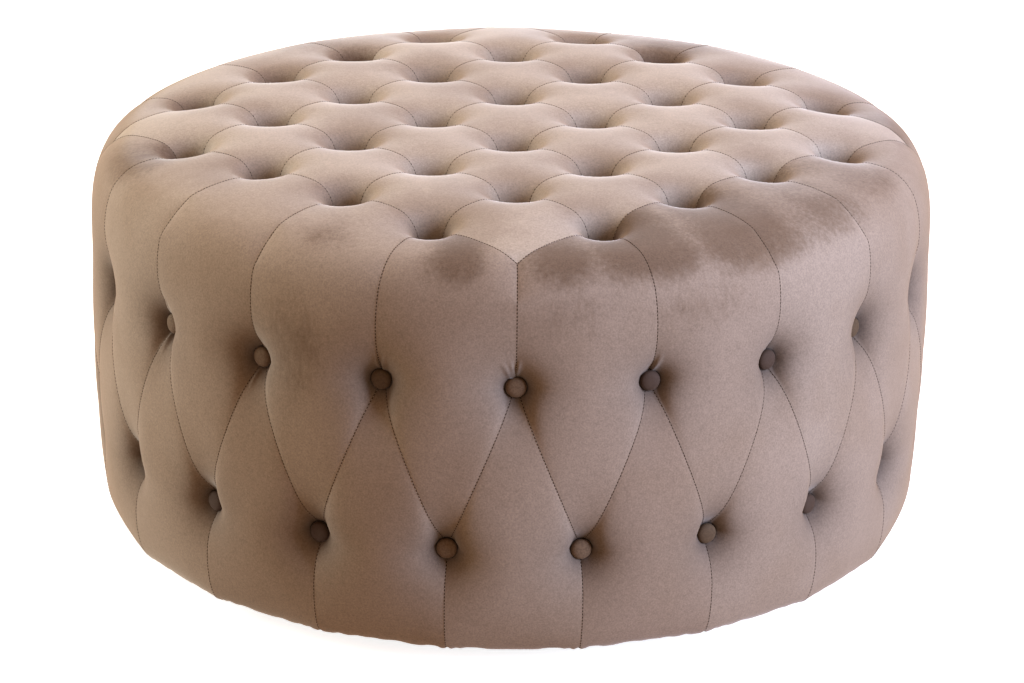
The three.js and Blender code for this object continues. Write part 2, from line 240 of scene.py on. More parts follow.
# %% The 25 diamonds of the top
for row in range(GRID):
    for column in range(GRID):
        ids = [[point(*diamond_place(row + a, column + b)) for b in steps] for a in steps]
        for i in range(CELLS):
            for j in range(CELLS):
                add_face(row * GRID + column, ids[i][j], ids[i + 1][j], ids[i + 1][j + 1], ids[i][j + 1])
print("top:", len(pattern_faces), "faces")

# %% The 20 shields and the 20 skirt panels
SEAM_STRAIGHTENS = 4  # how soon a seam that leaves the square turns straight down
FIRST_SHIELD = GRID * GRID
FIRST_SKIRT = FIRST_SHIELD + PANELS


def nearest_turn(angle, wanted):
    """The angle, turned by whole turns until it is nearest to the wanted one."""
    return angle + 2 * math.pi * round((wanted - angle) / (2 * math.pi))


def shield_point(k, u, v):
    """A point of shield k, u of the way across and v of the way from the square down to the upper row."""
    final = (k + u) * STEP
    start, run = border_place(k + u)
    lean = (nearest_turn(start, final) - final) * (1 - v) ** SEAM_STRAIGHTENS
    return point(final + lean, run + (upper_run - run) * v)


def fill_triangle(panel, tip, left, right):
    """A three-sided grid with corners given as (angle, run), in the turn that makes it face outwards."""
    corners = np.array([tip, left, right])
    share = spread(CELLS)
    ids = {}
    for i in range(CELLS + 1):
        for j in range(CELLS + 1 - i):
            weights = np.array([share[CELLS - i - j], share[i], share[j]])
            ids[i, j] = point(*(weights @ corners / weights.sum()))
    for i in range(CELLS):
        for j in range(CELLS - i):
            if i + j < CELLS - 1:
                add_face(panel, ids[i, j], ids[i + 1, j], ids[i + 1, j + 1], ids[i, j + 1])
            else:
                add_face(panel, ids[i, j], ids[i + 1, j], ids[i, j + 1])


def fill_strip(panel, rows):
    """Quads between rows of point numbers."""
    for above, below in zip(rows, rows[1:]):
        for j in range(CELLS):
            add_face(panel, above[j], below[j], below[j + 1], above[j + 1])


for k in range(PANELS):
    shield, skirt = FIRST_SHIELD + k, FIRST_SKIRT + k
    fill_strip(shield, [[shield_point(k, u, v) for u in steps] for v in np.linspace(0, 1, SHIELD_ROWS + 1)])
    upper_left, upper_right = (k * STEP, upper_run), ((k + 1) * STEP, upper_run)
    lower_left, lower_right = ((k - 0.5) * STEP, lower_run), ((k + 0.5) * STEP, lower_run)
    fill_triangle(shield, lower_right, upper_right, upper_left)
    fill_triangle(skirt, upper_left, lower_left, lower_right)
    runs = np.concatenate((
        np.linspace(lower_run, bottom_run, SKIRT_ROWS + 1),
        np.linspace(bottom_run, hem_run, HEM_ROWS + 1)[1:],
    ))
    fill_strip(skirt, [[point((k - 0.5 + u) * STEP, run) for u in steps] for run in runs])

flat = np.array([(x * 1e-5, y * 1e-5) for x, y in pattern_points])
panel_of_face = np.array(face_panel)
print("pattern:", len(flat), "points,", len(pattern_faces), "faces,", panel_of_face.max() + 1, "panels")

# %% [markdown]
# ## Where the pattern lies when nothing pulls on it
#
# Each flat point goes back onto the drum's outline. The bottom edge isn't a true circle: the cloth is
# held at the lower seams and runs nearly straight between them, so the drum ends in twenty short flats.

# %% Unpulled skin
FLATS_REACH = 90 * MM  # how far up the side the flats fade out

angle = np.arctan2(flat[:, 0], -flat[:, 1])
run = np.hypot(flat[:, 0], flat[:, 1])
radius = np.interp(run, outline_run, outline[:, 0])
height = np.interp(run, outline_run, outline[:, 1])
out_across = np.interp(run, outline_run, outward[:, 0])
out_up = np.interp(run, outline_run, outward[:, 1])
off_flat = (angle + STEP / 2) % STEP - STEP / 2
flatness = np.clip(1 - (height - hem_height) / FLATS_REACH, 0, 1) ** 2 * (run > lower_run)
radius = radius * (1 - flatness * (1 - math.cos(STEP / 2) / np.cos(off_flat)))
around = np.column_stack((np.sin(angle), -np.cos(angle), np.zeros(len(angle))))
unpulled = around * radius[:, None] + np.outer(height, (0, 0, 1))
skin_out = around * out_across[:, None] + np.outer(out_up, (0, 0, 1))
print("unpulled skin from", np.round(unpulled.min(axis=0), 3), "to", np.round(unpulled.max(axis=0), 3))

# %% [markdown]
# ## Pulling the buttons down
#
# Twine pulls every button into the foam, and the cover folds along the lines between buttons. The depth
# could be painted or sculpted. It is solved instead, as a tight skin on springy foam: it is given at the
# buttons and along the seams, and everywhere else it settles between its neighbours and the foam that
# pushes it back. The reach says how far from a button the foam still feels it.

# %% Lines that hold the cover
FLOOR_DROP = BUTTON_THICKNESS - 1 * MM  # the velvet under a button lies this far behind its face
CORNER_PIT = 3 * MM
SEAM_PULL = 1.6 * MM
SIDE_SEAM_PULL = 1.2 * MM
PIT_FLOOR = 12 * MM  # the radius that a button presses flat
TOP_SEAM_REACH, SIDE_SEAM_REACH = 8.5 * MM, 20 * MM  # how soon a seam rises as it leaves a button
TOP_FOAM_REACH, SIDE_FOAM_REACH = 12.5 * MM, 21 * MM

held = {}  # point number: depth


def hold_line(ids, pit_a, pit_b, pull):
    """Holds the points of a seam. It sinks at either end to a pit: (depth, radius of its floor, reach)."""
    travel = np.concatenate(([0], np.cumsum(np.linalg.norm(np.diff(unpulled[ids], axis=0), axis=1))))
    depth = np.full(len(ids), pull)
    for (pit, floor, reach), away in ((pit_a, travel), (pit_b, travel[-1] - travel)):
        depth += (pit - pull) * np.exp(-np.maximum(away - floor, 0) / reach)
    for i, d in zip(ids, np.minimum(depth, max(pit_a[0], pit_b[0]))):
        held[i] = max(held.get(i, 0), float(d))


def top_pit(a, b):
    """The pit at a crossing of the top's seams."""
    if a in (0, GRID) and b in (0, GRID):
        return CORNER_PIT, 0, SIDE_SEAM_REACH
    level = float(np.interp(diamond_place(a, b)[1], outline_run, outline[:, 1]))
    return level + PUFF - top_button_face + FLOOR_DROP, PIT_FLOOR, TOP_SEAM_REACH


def side_pit(where):
    across = float(np.interp(where, outline_run, outline[:, 0]))
    return across + PUFF - side_button_face + FLOOR_DROP, PIT_FLOOR, SIDE_SEAM_REACH


seams = []  # (kind, point numbers)
for a in range(GRID + 1):
    for b in range(GRID):
        for first, second, line in (
            ((a, b), (a, b + 1), [point(*diamond_place(a, b + t)) for t in steps]),
            ((b, a), (b + 1, a), [point(*diamond_place(b + t, a)) for t in steps]),
        ):
            hold_line(line, top_pit(*first), top_pit(*second), SEAM_PULL)
            seams.append(("top", line))

for k in range(PANELS):
    start = [(k, 0), (GRID, k - GRID), (3 * GRID - k, GRID), (0, 4 * GRID - k)][k // GRID]
    upper_pit, lower_pit = side_pit(upper_run), side_pit(lower_run)
    line = [shield_point(k, 0, v) for v in np.linspace(0, 1, SHIELD_ROWS + 1)]
    hold_line(line, top_pit(*start), upper_pit, SIDE_SEAM_PULL)
    seams.append(("shoulder", line))
    for side in (-0.5, 0.5):
        line = [point((k + side * t) * STEP, upper_run + (lower_run - upper_run) * t) for t in steps]
        hold_line(line, upper_pit, lower_pit, SIDE_SEAM_PULL)
        seams.append(("diagonal", line))
    line = [point((k + 0.5) * STEP, r) for r in np.linspace(lower_run, bottom_run, SKIRT_ROWS + 1)]
    hold_line(line, lower_pit, (0, 0, SIDE_SEAM_REACH), SIDE_SEAM_PULL)
    seams.append(("skirt", line))
print("seams:", len(seams), "holding", len(held), "of", len(pattern_points), "points")

# %% The buttons press their floors flat
spots = []  # (place of the face's middle, the way it faces, row)
for a in range(GRID + 1):
    for b in range(GRID + 1):
        if top_pit(a, b)[1]:
            x, y = (a - b) * tuft_width / 2, (a + b - GRID) * tuft_depth / 2
            spots.append((Vector((x, y, top_button_face)), Vector((0, 0, 1)), "top"))
for k in range(PANELS):
    for row, turn, level in (("upper", k * STEP, upper_row), ("lower", (k + 0.5) * STEP, lower_row)):
        facing = Vector((math.sin(turn), -math.cos(turn), 0))
        spots.append((facing * side_button_face + Vector((0, 0, level)), facing, row))

for place, facing, row in spots:
    gap = unpulled - np.array(place)
    ahead = gap @ np.array(facing)
    aside = np.linalg.norm(gap - np.outer(ahead, np.array(facing)), axis=1)
    for i in np.flatnonzero((aside < PIT_FLOOR) & (ahead > -BUTTON_THICKNESS)):
        held[int(i)] = float(ahead[i]) + PUFF + FLOOR_DROP
under_hem = run > bottom_run + 1e-6
for i in np.flatnonzero(under_hem):
    held[int(i)] = 0.0
print("buttons:", len(spots))

# %% Solve for the depth everywhere else
quads = np.array([f if len(f) == 4 else (*f, f[0]) for f in pattern_faces])
a, b, c, d = (unpulled[quads[:, i]] for i in range(4))
areas = np.linalg.norm(np.cross(c - a, d - b), axis=1) / 2
areas = np.where(quads[:, 3] == quads[:, 0], np.linalg.norm(np.cross(b - a, c - a), axis=1) / 2, areas)
count = len(flat)
point_area = sum(np.bincount(quads[:, i], areas / 4, count) for i in range(4))
ends = np.vstack([np.column_stack((quads[:, i], quads[:, (i + 1) % 4])) for i in range(4)])
ends = np.sort(ends, axis=1)
length_squared = ((unpulled[ends[:, 0]] - unpulled[ends[:, 1]]) ** 2).sum(axis=1)
real = length_squared > 1e-12
stiffness = np.where(real, np.tile(areas, 4) / 2 / np.where(real, length_squared, 1), 0)

on_side = np.clip((run - run_at_radius(widest - 2 * SHOULDER_WIDTH)) / (2 * SHOULDER_WIDTH), 0, 1)
reach = TOP_FOAM_REACH + (SIDE_FOAM_REACH - TOP_FOAM_REACH) * on_side
stiffness *= reach[ends].mean(axis=1) ** 2


def settle(values, loose):
    """Conjugate gradients for a tight skin on springy foam. Values change only where loose is true."""

    def pulled(x):
        flow = stiffness * (x[ends[:, 0]] - x[ends[:, 1]])
        return np.bincount(ends[:, 0], flow, count) - np.bincount(ends[:, 1], flow, count) + point_area * x

    x = values.copy()
    residual = np.where(loose, -pulled(x), 0)
    step = residual.copy()
    size = residual @ residual
    goal = size * 1e-10
    for turn in range(600):
        moved = np.where(loose, pulled(step), 0)
        rate = size / (step @ moved)
        x += rate * step
        residual -= rate * moved
        before, size = size, residual @ residual
        if size < goal:
            break
        step = residual + size / before * step
    return x, turn


depth = np.zeros(count)
loose = np.ones(count, bool)
for i, value in held.items():
    depth[i] = value
    loose[i] = False
depth, turns = settle(depth, loose)
skin = unpulled + skin_out * (PUFF - depth)[:, None]
skin[under_hem] = unpulled[under_hem]
print("depth solved in", turns, "turns:", [round(float(v) / MM, 1) for v in (depth.min(), depth.max())], "mm")

# %% [markdown]
# ## Letting the cloth swell
#
# The solved skin is smooth everywhere, but velvet over foam swells a little more in one place than in
# another. Painting that by hand would be slow. Blender's Cloth does it: the skin is pinned at the buttons
# and the hem, pressed from inside for a few frames with gravity off, and read back. No point may move
# further than the cap, so the drum keeps its size.

# %% A short cloth simulation
SWELL_FRAMES = 16
SWELL_CAP = 3.5 * MM
PINNED_REACH = 20 * MM  # the cloth is stiffer near a button, where the twine has pulled it tight
PINNED_HEM = 15 * MM  # how far above the hem's turn the cloth is held
HOLD_LEVELS = 10
CLOTH = {
    "quality": 4,
    "mass": 0.3,
    "tension_stiffness": 25,
    "compression_stiffness": 25,
    "shear_stiffness": 10,
    "bending_stiffness": 2,
    "use_pressure": True,
    "uniform_pressure_force": 3.0,
    "vertex_group_mass": "held",
}


def mesh_object(name, points, faces):
    mesh = bpy.data.meshes.new(name)
    mesh.from_pydata([tuple(p) for p in points], [], faces)
    mesh.update()
    piece = bpy.data.objects.new(name, mesh)
    bpy.context.scene.collection.objects.link(piece)
    return piece


def read_points(mesh):
    """A mesh's points as an array."""
    places = np.empty(len(mesh.vertices) * 3)
    mesh.vertices.foreach_get("co", places)
    return places.reshape(-1, 3)


def swollen(points):
    """The points after a short time under pressure."""
    trial = mesh_object("swelling", points, pattern_faces)
    floors = np.array([place - facing * FLOOR_DROP for place, facing, _ in spots])
    near = np.min([np.linalg.norm(points - floor, axis=1) for floor in floors], axis=0)
    weight = np.exp(-np.maximum(near - PIT_FLOOR, 0) / PINNED_REACH)
    weight[run > bottom_run - PINNED_HEM] = 1
    group = trial.vertex_groups.new(name="held")
    for level in range(HOLD_LEVELS + 1):
        ids = np.flatnonzero(np.round(weight * HOLD_LEVELS) == level)
        group.add([int(i) for i in ids], level / HOLD_LEVELS, "REPLACE")
    cloth = trial.modifiers.new("cloth", "CLOTH")
    for key, value in CLOTH.items():
        setattr(cloth.settings, key, value)
    cloth.settings.effector_weights.gravity = 0
    cloth.point_cache.frame_start, cloth.point_cache.frame_end = 1, SWELL_FRAMES
    for number in range(1, SWELL_FRAMES + 1):
        bpy.context.scene.frame_set(number)
    moved = read_points(trial.evaluated_get(bpy.context.evaluated_depsgraph_get()).data)
    bpy.context.scene.frame_set(1)
    bpy.data.objects.remove(trial)
    return moved


shift = swollen(skin) - skin
size = np.linalg.norm(shift, axis=1)
shift *= (np.minimum(size, SWELL_CAP) / np.maximum(size, 1e-9))[:, None]
skin = skin + shift
print("swelling: mean", round(size.mean() * 1e3, 2), "mm, most", round(size.max() * 1e3, 2), "mm")

# %% [markdown]
# ## Pull folds
#
# Where a side button is pulled hardest, two or three fine folds run up or down from it before they fade.
# They are too narrow for the simulation, so they are raised on the finished skin.

# %% Fine folds at some buttons, applied to any point of the skin
FOLD_HEIGHT = 2.4 * MM
FOLD_WIDTH = 2.1 * MM
FOLD_LENGTH = 26 * MM
FOLD_START = 0.8  # of the button's radius
SAME_SIDE = 30 * MM  # skin further than this behind a button's face belongs to another side of the drum
# Upper button's number: the degrees that each of its folds leans from upright
FOLDS = {
    0: (-24, -11, 5),
    1: (12,),
    5: (-14, 9),
    9: (-20, -8),
    13: (10, 22),
    17: (14, 190, 198),
    18: (193,),
    19: (-6, 16),
}


def add_folds(points, outs):
    """Raises the folds at each listed upper button."""
    for k, leans in FOLDS.items():
        turn = k * STEP
        across = np.array((math.cos(turn), math.sin(turn), 0))
        facing = np.array((math.sin(turn), -math.cos(turn), 0))
        start = facing * side_button_face + np.array((0, 0, upper_row))
        off = points - start
        front = off @ facing > -SAME_SIDE
        for lean in leans:
            lean = math.radians(lean)
            up = off[:, 2] * math.cos(lean) + (off @ across) * math.sin(lean)
            aside = (off @ across) * math.cos(lean) - off[:, 2] * math.sin(lean)
            along_fold = np.clip((up - BUTTON_RADIUS * FOLD_START) / FOLD_LENGTH, 0, 1)
            height = FOLD_HEIGHT * np.sin(math.pi * along_fold**0.6) * np.exp(-((aside / FOLD_WIDTH) ** 2))
            points += outs * (height * front)[:, None]
    return points


# %% [markdown]
# ## The skin as a mesh
#
# The solved points become one mesh. Its seams are marked as creases, so that a subdivision rounds the
# padding but keeps each fold sharp, and every face carries the number of the panel it belongs to.

# %% Skin mesh, subdivided
SEAM_CREASE = 0.8


def only(piece):
    """Selects one piece and makes it the active one."""
    for other in bpy.context.selected_objects:
        other.select_set(False)
    bpy.context.view_layer.objects.active = piece
    piece.select_set(True)


def apply(piece, kind, **settings):
    """Adds a modifier with its settings and applies it."""
    only(piece)
    modifier = piece.modifiers.new(kind.lower(), kind)
    for key, value in settings.items():
        setattr(modifier, key, value)
    bpy.ops.object.modifier_apply(modifier=modifier.name)


skin_piece = mesh_object("skin", skin, pattern_faces)
skin_piece.data.attributes.new("panel", "INT", "FACE").data.foreach_set("value", panel_of_face)
seam_pairs = {tuple(sorted(pair)) for _, line in seams for pair in zip(line, line[1:])}
crease = skin_piece.data.attributes.new("crease_edge", "FLOAT", "EDGE")
crease.data.foreach_set(
    "value", [SEAM_CREASE if tuple(sorted(e.vertices)) in seam_pairs else 0 for e in skin_piece.data.edges]
)
apply(skin_piece, "SUBSURF", levels=1, render_levels=1)
fine = read_points(skin_piece.data)
fine_out = np.array([v.normal for v in skin_piece.data.vertices])
folded = add_folds(fine.copy(), fine_out)
print("highest fold", round(float(np.abs(folded - fine).max()) / MM, 2), "mm")
skin_piece.data.vertices.foreach_set("co", folded.ravel())
skin_piece.data.update()
print("skin:", len(skin_piece.data.polygons), "faces")

# %% [markdown]
# ## Sewn panels
#
# The skin is cut into its 65 panels along the seams. Each panel's raw edge is folded down into the seam,
# so a narrow groove shows where two panels meet, and Solidify gives the velvet its thickness.

# %% Cut the skin into panels
VELVET = 1.5 * MM
SEAM_ROLL = 0.5 * MM  # how far from the seam the velvet starts to roll down into it
SEAM_SINK = 0.5 * MM


def panel_name(number):
    if number < FIRST_SHIELD:
        return f"velvet_diamond_{number + 1:02d}"
    if number < FIRST_SKIRT:
        return f"velvet_shield_{number - FIRST_SHIELD + 1:02d}"
    return f"velvet_skirt_{number - FIRST_SKIRT + 1:02d}"


def cut_panels(skin_mesh):
    """One object for each panel number of the skin's faces."""
    places = read_points(skin_mesh)
    numbers = np.empty(len(skin_mesh.polygons), int)
    skin_mesh.attributes["panel"].data.foreach_get("value", numbers)
    corners = [tuple(p.vertices) for p in skin_mesh.polygons]
    made = []
    for number in range(numbers.max() + 1):
        faces = [corners[i] for i in np.flatnonzero(numbers == number)]
        used = sorted({v for f in faces for v in f})
        new = {v: i for i, v in enumerate(used)}
        made.append(mesh_object(panel_name(number), places[used], [[new[v] for v in f] for f in faces]))
    return made


def roll_edges(piece):
    """Rolls the panel's edges down into its seams."""
    shape = bmesh.new()
    shape.from_mesh(piece.data)
    shape.normal_update()
    for width in (SEAM_ROLL, SEAM_ROLL / 2):
        bmesh.ops.inset_region(shape, faces=shape.faces[:], thickness=width, use_boundary=True)
    shape.normal_update()
    for vertex in [v for v in shape.verts if v.is_boundary]:
        vertex.co -= vertex.normal * SEAM_SINK
    shape.to_mesh(piece.data)
    shape.free()


panels = cut_panels(skin_piece.data)
for piece in panels:
    roll_edges(piece)
    apply(piece, "SOLIDIFY", thickness=VELVET, offset=-1)
    only(piece)
    bpy.ops.object.shade_smooth()
print("panels:", len(panels), "with", sum(len(p.data.polygons) for p in panels), "faces")

# %% Which parts of the frame the panels stand for
for number, piece in enumerate(panels):
    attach(piece, "root")
    if number < FIRST_SHIELD:
        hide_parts("velvet_top")
    else:
        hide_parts(f"velvet_side_panel_{(number - FIRST_SHIELD) % PANELS + 1:02d}")
print("panels stand for velvet_top and", PANELS, "side panels")

# %% [markdown]
# ## Covered buttons
#
# A covered button is a metal shell with a disc of the same velvet pressed over it: a low dome with a
# rounded rim. A squashed sphere would come close. One button is drawn here as a circle that is extruded
# and narrowed ring by ring, as it would be turned, and then copied to all 72 places, each turned to face
# the way its twine pulls.

# %% One button
BUTTON_SIDES = 20
BUTTON_BACK = 0.8  # the back's share of the full radius
# Each ring's rise as a share of the thickness, and its size against the ring before
BUTTON_RINGS = ((0.1, 1.2), (0.3, 1.042), (0.3, 0.93), (0.2, 0.72), (0.1, 0.45))


def ring_up(height, scale):
    """Extrudes the selected ring upwards and resizes it."""
    bpy.ops.mesh.extrude_region_move(TRANSFORM_OT_translate={"value": (0, 0, height)})
    bpy.ops.transform.resize(value=(scale, scale, 1))


def leave_editing():
    """Turns every face outwards and goes back to object mode."""
    bpy.ops.mesh.select_all(action="SELECT")
    bpy.ops.mesh.normals_make_consistent(inside=False)
    bpy.ops.object.mode_set(mode="OBJECT")


def copied(name, mesh, move):
    """A piece with its own copy of a mesh, moved into place, that rides the frame."""
    piece = bpy.data.objects.new(name, mesh.copy())
    bpy.context.scene.collection.objects.link(piece)
    piece.data.transform(move)
    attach(piece, "root")
    return piece


bpy.ops.object.select_all(action="DESELECT")
bpy.ops.mesh.primitive_circle_add(vertices=BUTTON_SIDES, radius=BUTTON_RADIUS * BUTTON_BACK, fill_type="NGON")
button = bpy.context.object
bpy.ops.object.mode_set(mode="EDIT")
bpy.ops.mesh.select_all(action="SELECT")
bpy.ops.mesh.flip_normals()
for rise, scale in BUTTON_RINGS:
    ring_up(rise * BUTTON_THICKNESS, scale)
leave_editing()
apply(button, "SUBSURF", levels=1, render_levels=1)
bpy.ops.object.shade_smooth()
button_mesh = button.data
print("button:", len(button_mesh.polygons), "faces")

# %% 72 copies
# How far a button's face stands past the frame's. Those on top hide deep in the padding, and only their
# far rims show.
SIT = {"top": 4 * MM, "upper": 1 * MM, "lower": 1 * MM}

button_pieces = []
for number, (place, facing, name) in enumerate(spots):
    stand = Matrix.Translation(place + facing * (SIT[name] - BUTTON_THICKNESS))
    turned = facing.to_track_quat("Z", "Y").to_matrix().to_4x4()
    piece = copied(f"button_{name}_{number + 1:02d}", button_mesh, stand @ turned)
    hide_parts("top_buttons" if name == "top" else f"{name}_side_buttons")
    button_pieces.append(piece)
bpy.data.objects.remove(button)
print("buttons:", len(button_pieces))

# %% [markdown]
# ## Thread in the seams
#
# Every seam is closed by a lockstitch in dark thread. Each stitch shows as a short raised dash that dips
# into the cloth at both ends. A row of dashes could be painted on, but real ones catch the light, so
# one spindle with a few faces is drawn, as a ring that is extruded and resized, and its points are laid
# along the seams of the finished skin.

# %% Stitches
STITCH_PITCH = 3.6 * MM
STITCH_LENGTH = 2.3 * MM
THREAD = 0.9 * MM
STITCH_RISE = 0.15 * MM
THREAD_SIDES = 5
TIP = 0.15  # a stitch's tip has this radius, as a share of the thread's thickness
TIP_DIP = 0.3 * THREAD  # how far each tip dips into the cloth
TIP_START = 0.4  # of the stitch's length, from its middle
# Each ring's share of the length, and its size against the ring before: tip, full, full and tip
STITCH_RINGS = ((0.22, 2.9), (0.56, 1.0), (0.22, 0.35))
LOOK_AHEAD = 1 * MM  # the seam's direction is taken between points this far ahead and behind

bpy.ops.object.select_all(action="DESELECT")
bpy.ops.mesh.primitive_circle_add(vertices=THREAD_SIDES, radius=THREAD * TIP, fill_type="NGON")
stitch = bpy.context.object
bpy.ops.object.mode_set(mode="EDIT")
bpy.ops.mesh.select_all(action="SELECT")
for share, scale in STITCH_RINGS:
    ring_up(STITCH_LENGTH * share, scale)
leave_editing()
# Each point along the seam, across it, and up
along = np.array([v.co.z / STITCH_LENGTH - 0.5 for v in stitch.data.vertices])
unit_stitch = np.array([(a * STITCH_LENGTH, v.co.x, v.co.y) for a, v in zip(along, stitch.data.vertices)])
unit_stitch[:, 2] -= np.where(np.abs(along) > TIP_START, TIP_DIP, 0)
unit_faces = [tuple(f.vertices) for f in stitch.data.polygons]
bpy.data.objects.remove(stitch)
print("one stitch:", len(unit_faces), "faces")


def sew(name, lines):
    """One piece of thread: a spindle at every pitch along each line of the skin's points."""
    mesh = skin_piece.data
    points, faces = [], []
    for ids in lines:
        places = np.array([mesh.vertices[i].co for i in ids])
        normals = np.array([mesh.vertices[i].normal for i in ids])
        travel = np.concatenate(([0], np.cumsum(np.linalg.norm(np.diff(places, axis=0), axis=1))))
        wanted = np.arange(STITCH_PITCH / 2, travel[-1], STITCH_PITCH)
        spot, ahead, behind, up = (
            np.column_stack([np.interp(wanted + shift, travel, values[:, i]) for i in range(3)])
            for values, shift in ((places, 0), (places, LOOK_AHEAD), (places, -LOOK_AHEAD), (normals, 0))
        )
        for centre, tangent, normal in zip(spot, ahead - behind, up):
            tangent = tangent / np.linalg.norm(tangent)
            normal = normal - tangent * (normal @ tangent)
            normal /= np.linalg.norm(normal)
            side = np.cross(normal, tangent)
            placed = centre + normal * STITCH_RISE + unit_stitch @ np.array([tangent, side, normal])
            faces += [tuple(i + len(points) for i in f) for f in unit_faces]
            points += list(placed)
    piece = mesh_object(name, points, faces)
    only(piece)
    bpy.ops.object.shade_smooth()
    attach(piece, "root")
    print(name, len(faces) // len(unit_faces), "stitches")
    return piece


threads = [
    sew(f"thread_{kind}_seams", [line for its, line in seams if its == kind])
    for kind in ("top", "shoulder", "diagonal", "skirt")
]

# %% [markdown]
# ## Foam
#
# Under the velvet lies the foam, which the twine squeezes into the same shape. It could stay as the
# frame's plain slab, but the pits would cut through it. It is made from a copy of the skin moved inwards
# and cut through at the height of the top board: the upper part is the slab, and the lower part is the
# band that is glued round the side.

# %% Slab and band
FOAM_INSET = 3.5 * MM
FOAM_GAP = 0.5 * MM
BAND_LIFT = 2 * MM  # the band ends this far above the frame's, clear of the turned-under velvet
FOAM_EDGE = math.radians(40)  # a sharper bend than this stays a sharp edge


def cut_level(shape, level, keep_above):
    """Cuts a mesh by a level plane and keeps one part. Returns the edges of the cut."""
    cut = bmesh.ops.bisect_plane(
        shape,
        geom=shape.verts[:] + shape.edges[:] + shape.faces[:],
        plane_co=(0, 0, level),
        plane_no=(0, 0, 1),
        clear_outer=not keep_above,
        clear_inner=keep_above,
    )
    return [e for e in cut["geom_cut"] if isinstance(e, bmesh.types.BMEdge)]


def foam_shape():
    """The coarse skin, moved inwards along its own normals."""
    start = mesh_object("foam_start", skin, pattern_faces)
    shape = bmesh.new()
    shape.from_mesh(start.data)
    bpy.data.objects.remove(start)
    shape.normal_update()
    for vertex in shape.verts:
        vertex.co -= vertex.normal * FOAM_INSET
    return shape


def foam_piece(name, shape, node):
    bmesh.ops.recalc_face_normals(shape, faces=shape.faces[:])
    mesh = bpy.data.meshes.new(name)
    shape.to_mesh(mesh)
    shape.free()
    piece = bpy.data.objects.new(name, mesh)
    bpy.context.scene.collection.objects.link(piece)
    only(piece)
    bpy.ops.object.shade_smooth_by_angle(angle=FOAM_EDGE)
    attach(piece, "root")
    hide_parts(node)
    print(name, len(mesh.polygons), "faces")
    return piece


shape = foam_shape()
edges = cut_level(shape, board_top + FOAM_GAP, keep_above=True)
bmesh.ops.contextual_create(shape, geom=edges)
slab = foam_piece("foam_slab_under_top", shape, "top_foam")

shape = foam_shape()
band_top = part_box("side_foam")[1].z
band_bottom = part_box("side_foam")[0].z + BAND_LIFT
rims = [cut_level(shape, band_top, keep_above=False), cut_level(shape, band_bottom, keep_above=True)]
inner_edges = []
for rim in rims:
    rim = [e for e in rim if e.is_valid]
    grown = bmesh.ops.extrude_edge_only(shape, edges=rim)["geom"]
    for vertex in (v for v in grown if isinstance(v, bmesh.types.BMVert)):
        vertex.co.xy = vertex.co.xy.normalized() * (wall_radius + FOAM_GAP)
    inner_edges += [e for e in grown if isinstance(e, bmesh.types.BMEdge) and e.is_boundary]
bmesh.ops.bridge_loops(shape, edges=inner_edges)
band = foam_piece("foam_band_round_side", shape, "side_foam")

# %% [markdown]
# ## The underside
#
# A square of black non-woven cloth is trimmed to a disc, laid over the turned-under velvet and stapled
# along its edge, to keep dust out. It rests on the base ring and sags a little over the open middle. A
# circle filled with one face couldn't sag, so it is made as rings of points.

# %% Dust cover
COVER_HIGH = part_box("dust_cover")[1]
COVER_RADIUS = COVER_HIGH.x
COVER_RINGS = 40
COVER_SIDES = 120
COVER_SAG = 4 * MM
COVER_CLOTH = 0.5 * MM
OPEN_RADIUS = 300 * MM  # the hole in the base ring, where the cloth hangs free
PUCKERS = 60  # small ripples that fan out between the staples
PUCKER_HEIGHT = 0.3 * MM
PUCKER_FADE = 8  # the higher, the closer to the edge the ripples stay
COVER_EDGE = math.radians(40)

cover_points = [(0, 0, COVER_HIGH.z - COVER_SAG)]
for ring in range(1, COVER_RINGS + 1):
    r = COVER_RADIUS * ring / COVER_RINGS
    hang = COVER_SAG * max(0, 1 - (r / OPEN_RADIUS) ** 2) ** 1.5
    for turn in np.arange(COVER_SIDES) * 2 * math.pi / COVER_SIDES:
        edge = (r / COVER_RADIUS) ** PUCKER_FADE * PUCKER_HEIGHT
        z = COVER_HIGH.z - hang - edge * (1 + math.cos(turn * PUCKERS)) / 2
        cover_points.append((r * math.sin(turn), -r * math.cos(turn), z))
cover_faces = [(0, (i + 1) % COVER_SIDES + 1, i + 1) for i in range(COVER_SIDES)]
for ring in range(COVER_RINGS - 1):
    for i in range(COVER_SIDES):
        a, b = ring * COVER_SIDES + i + 1, ring * COVER_SIDES + (i + 1) % COVER_SIDES + 1
        cover_faces.append((a, b, b + COVER_SIDES, a + COVER_SIDES))
cover = mesh_object("dust_cover_cloth", cover_points, cover_faces)
shape = bmesh.new()
shape.from_mesh(cover.data)
bmesh.ops.recalc_face_normals(shape, faces=shape.faces[:])
if shape.faces[0].normal.z > 0:
    bmesh.ops.reverse_faces(shape, faces=shape.faces[:])
shape.to_mesh(cover.data)
shape.free()
apply(cover, "SOLIDIFY", thickness=COVER_CLOTH, offset=-1)
only(cover)
bpy.ops.object.shade_smooth_by_angle(angle=COVER_EDGE)
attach(cover, "root")
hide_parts("dust_cover")
print("dust cover:", len(cover.data.polygons), "faces,", round(2 * COVER_RADIUS, 3), "m across")

# %% [markdown]
# The staples are short bent wires. One is shaped from a strip: its crown is a row of small faces, and
# the legs are pulled out of the two end faces. It is then copied round the cover's edge.

# %% Staples
STAPLE_CROWN = 10 * MM
STAPLE_WIRE = 0.9 * MM
STAPLE_LEG = 6 * MM
STAPLE_FLAT = 0.6  # the wire is flatter than it is wide
STAPLE_CORNER = 0.44  # the legs start outside this share of the crown
STAPLE_INSET = 7 * MM  # from the cloth's edge
STAPLE_SINK = 0.3 * MM
STAPLES = 60

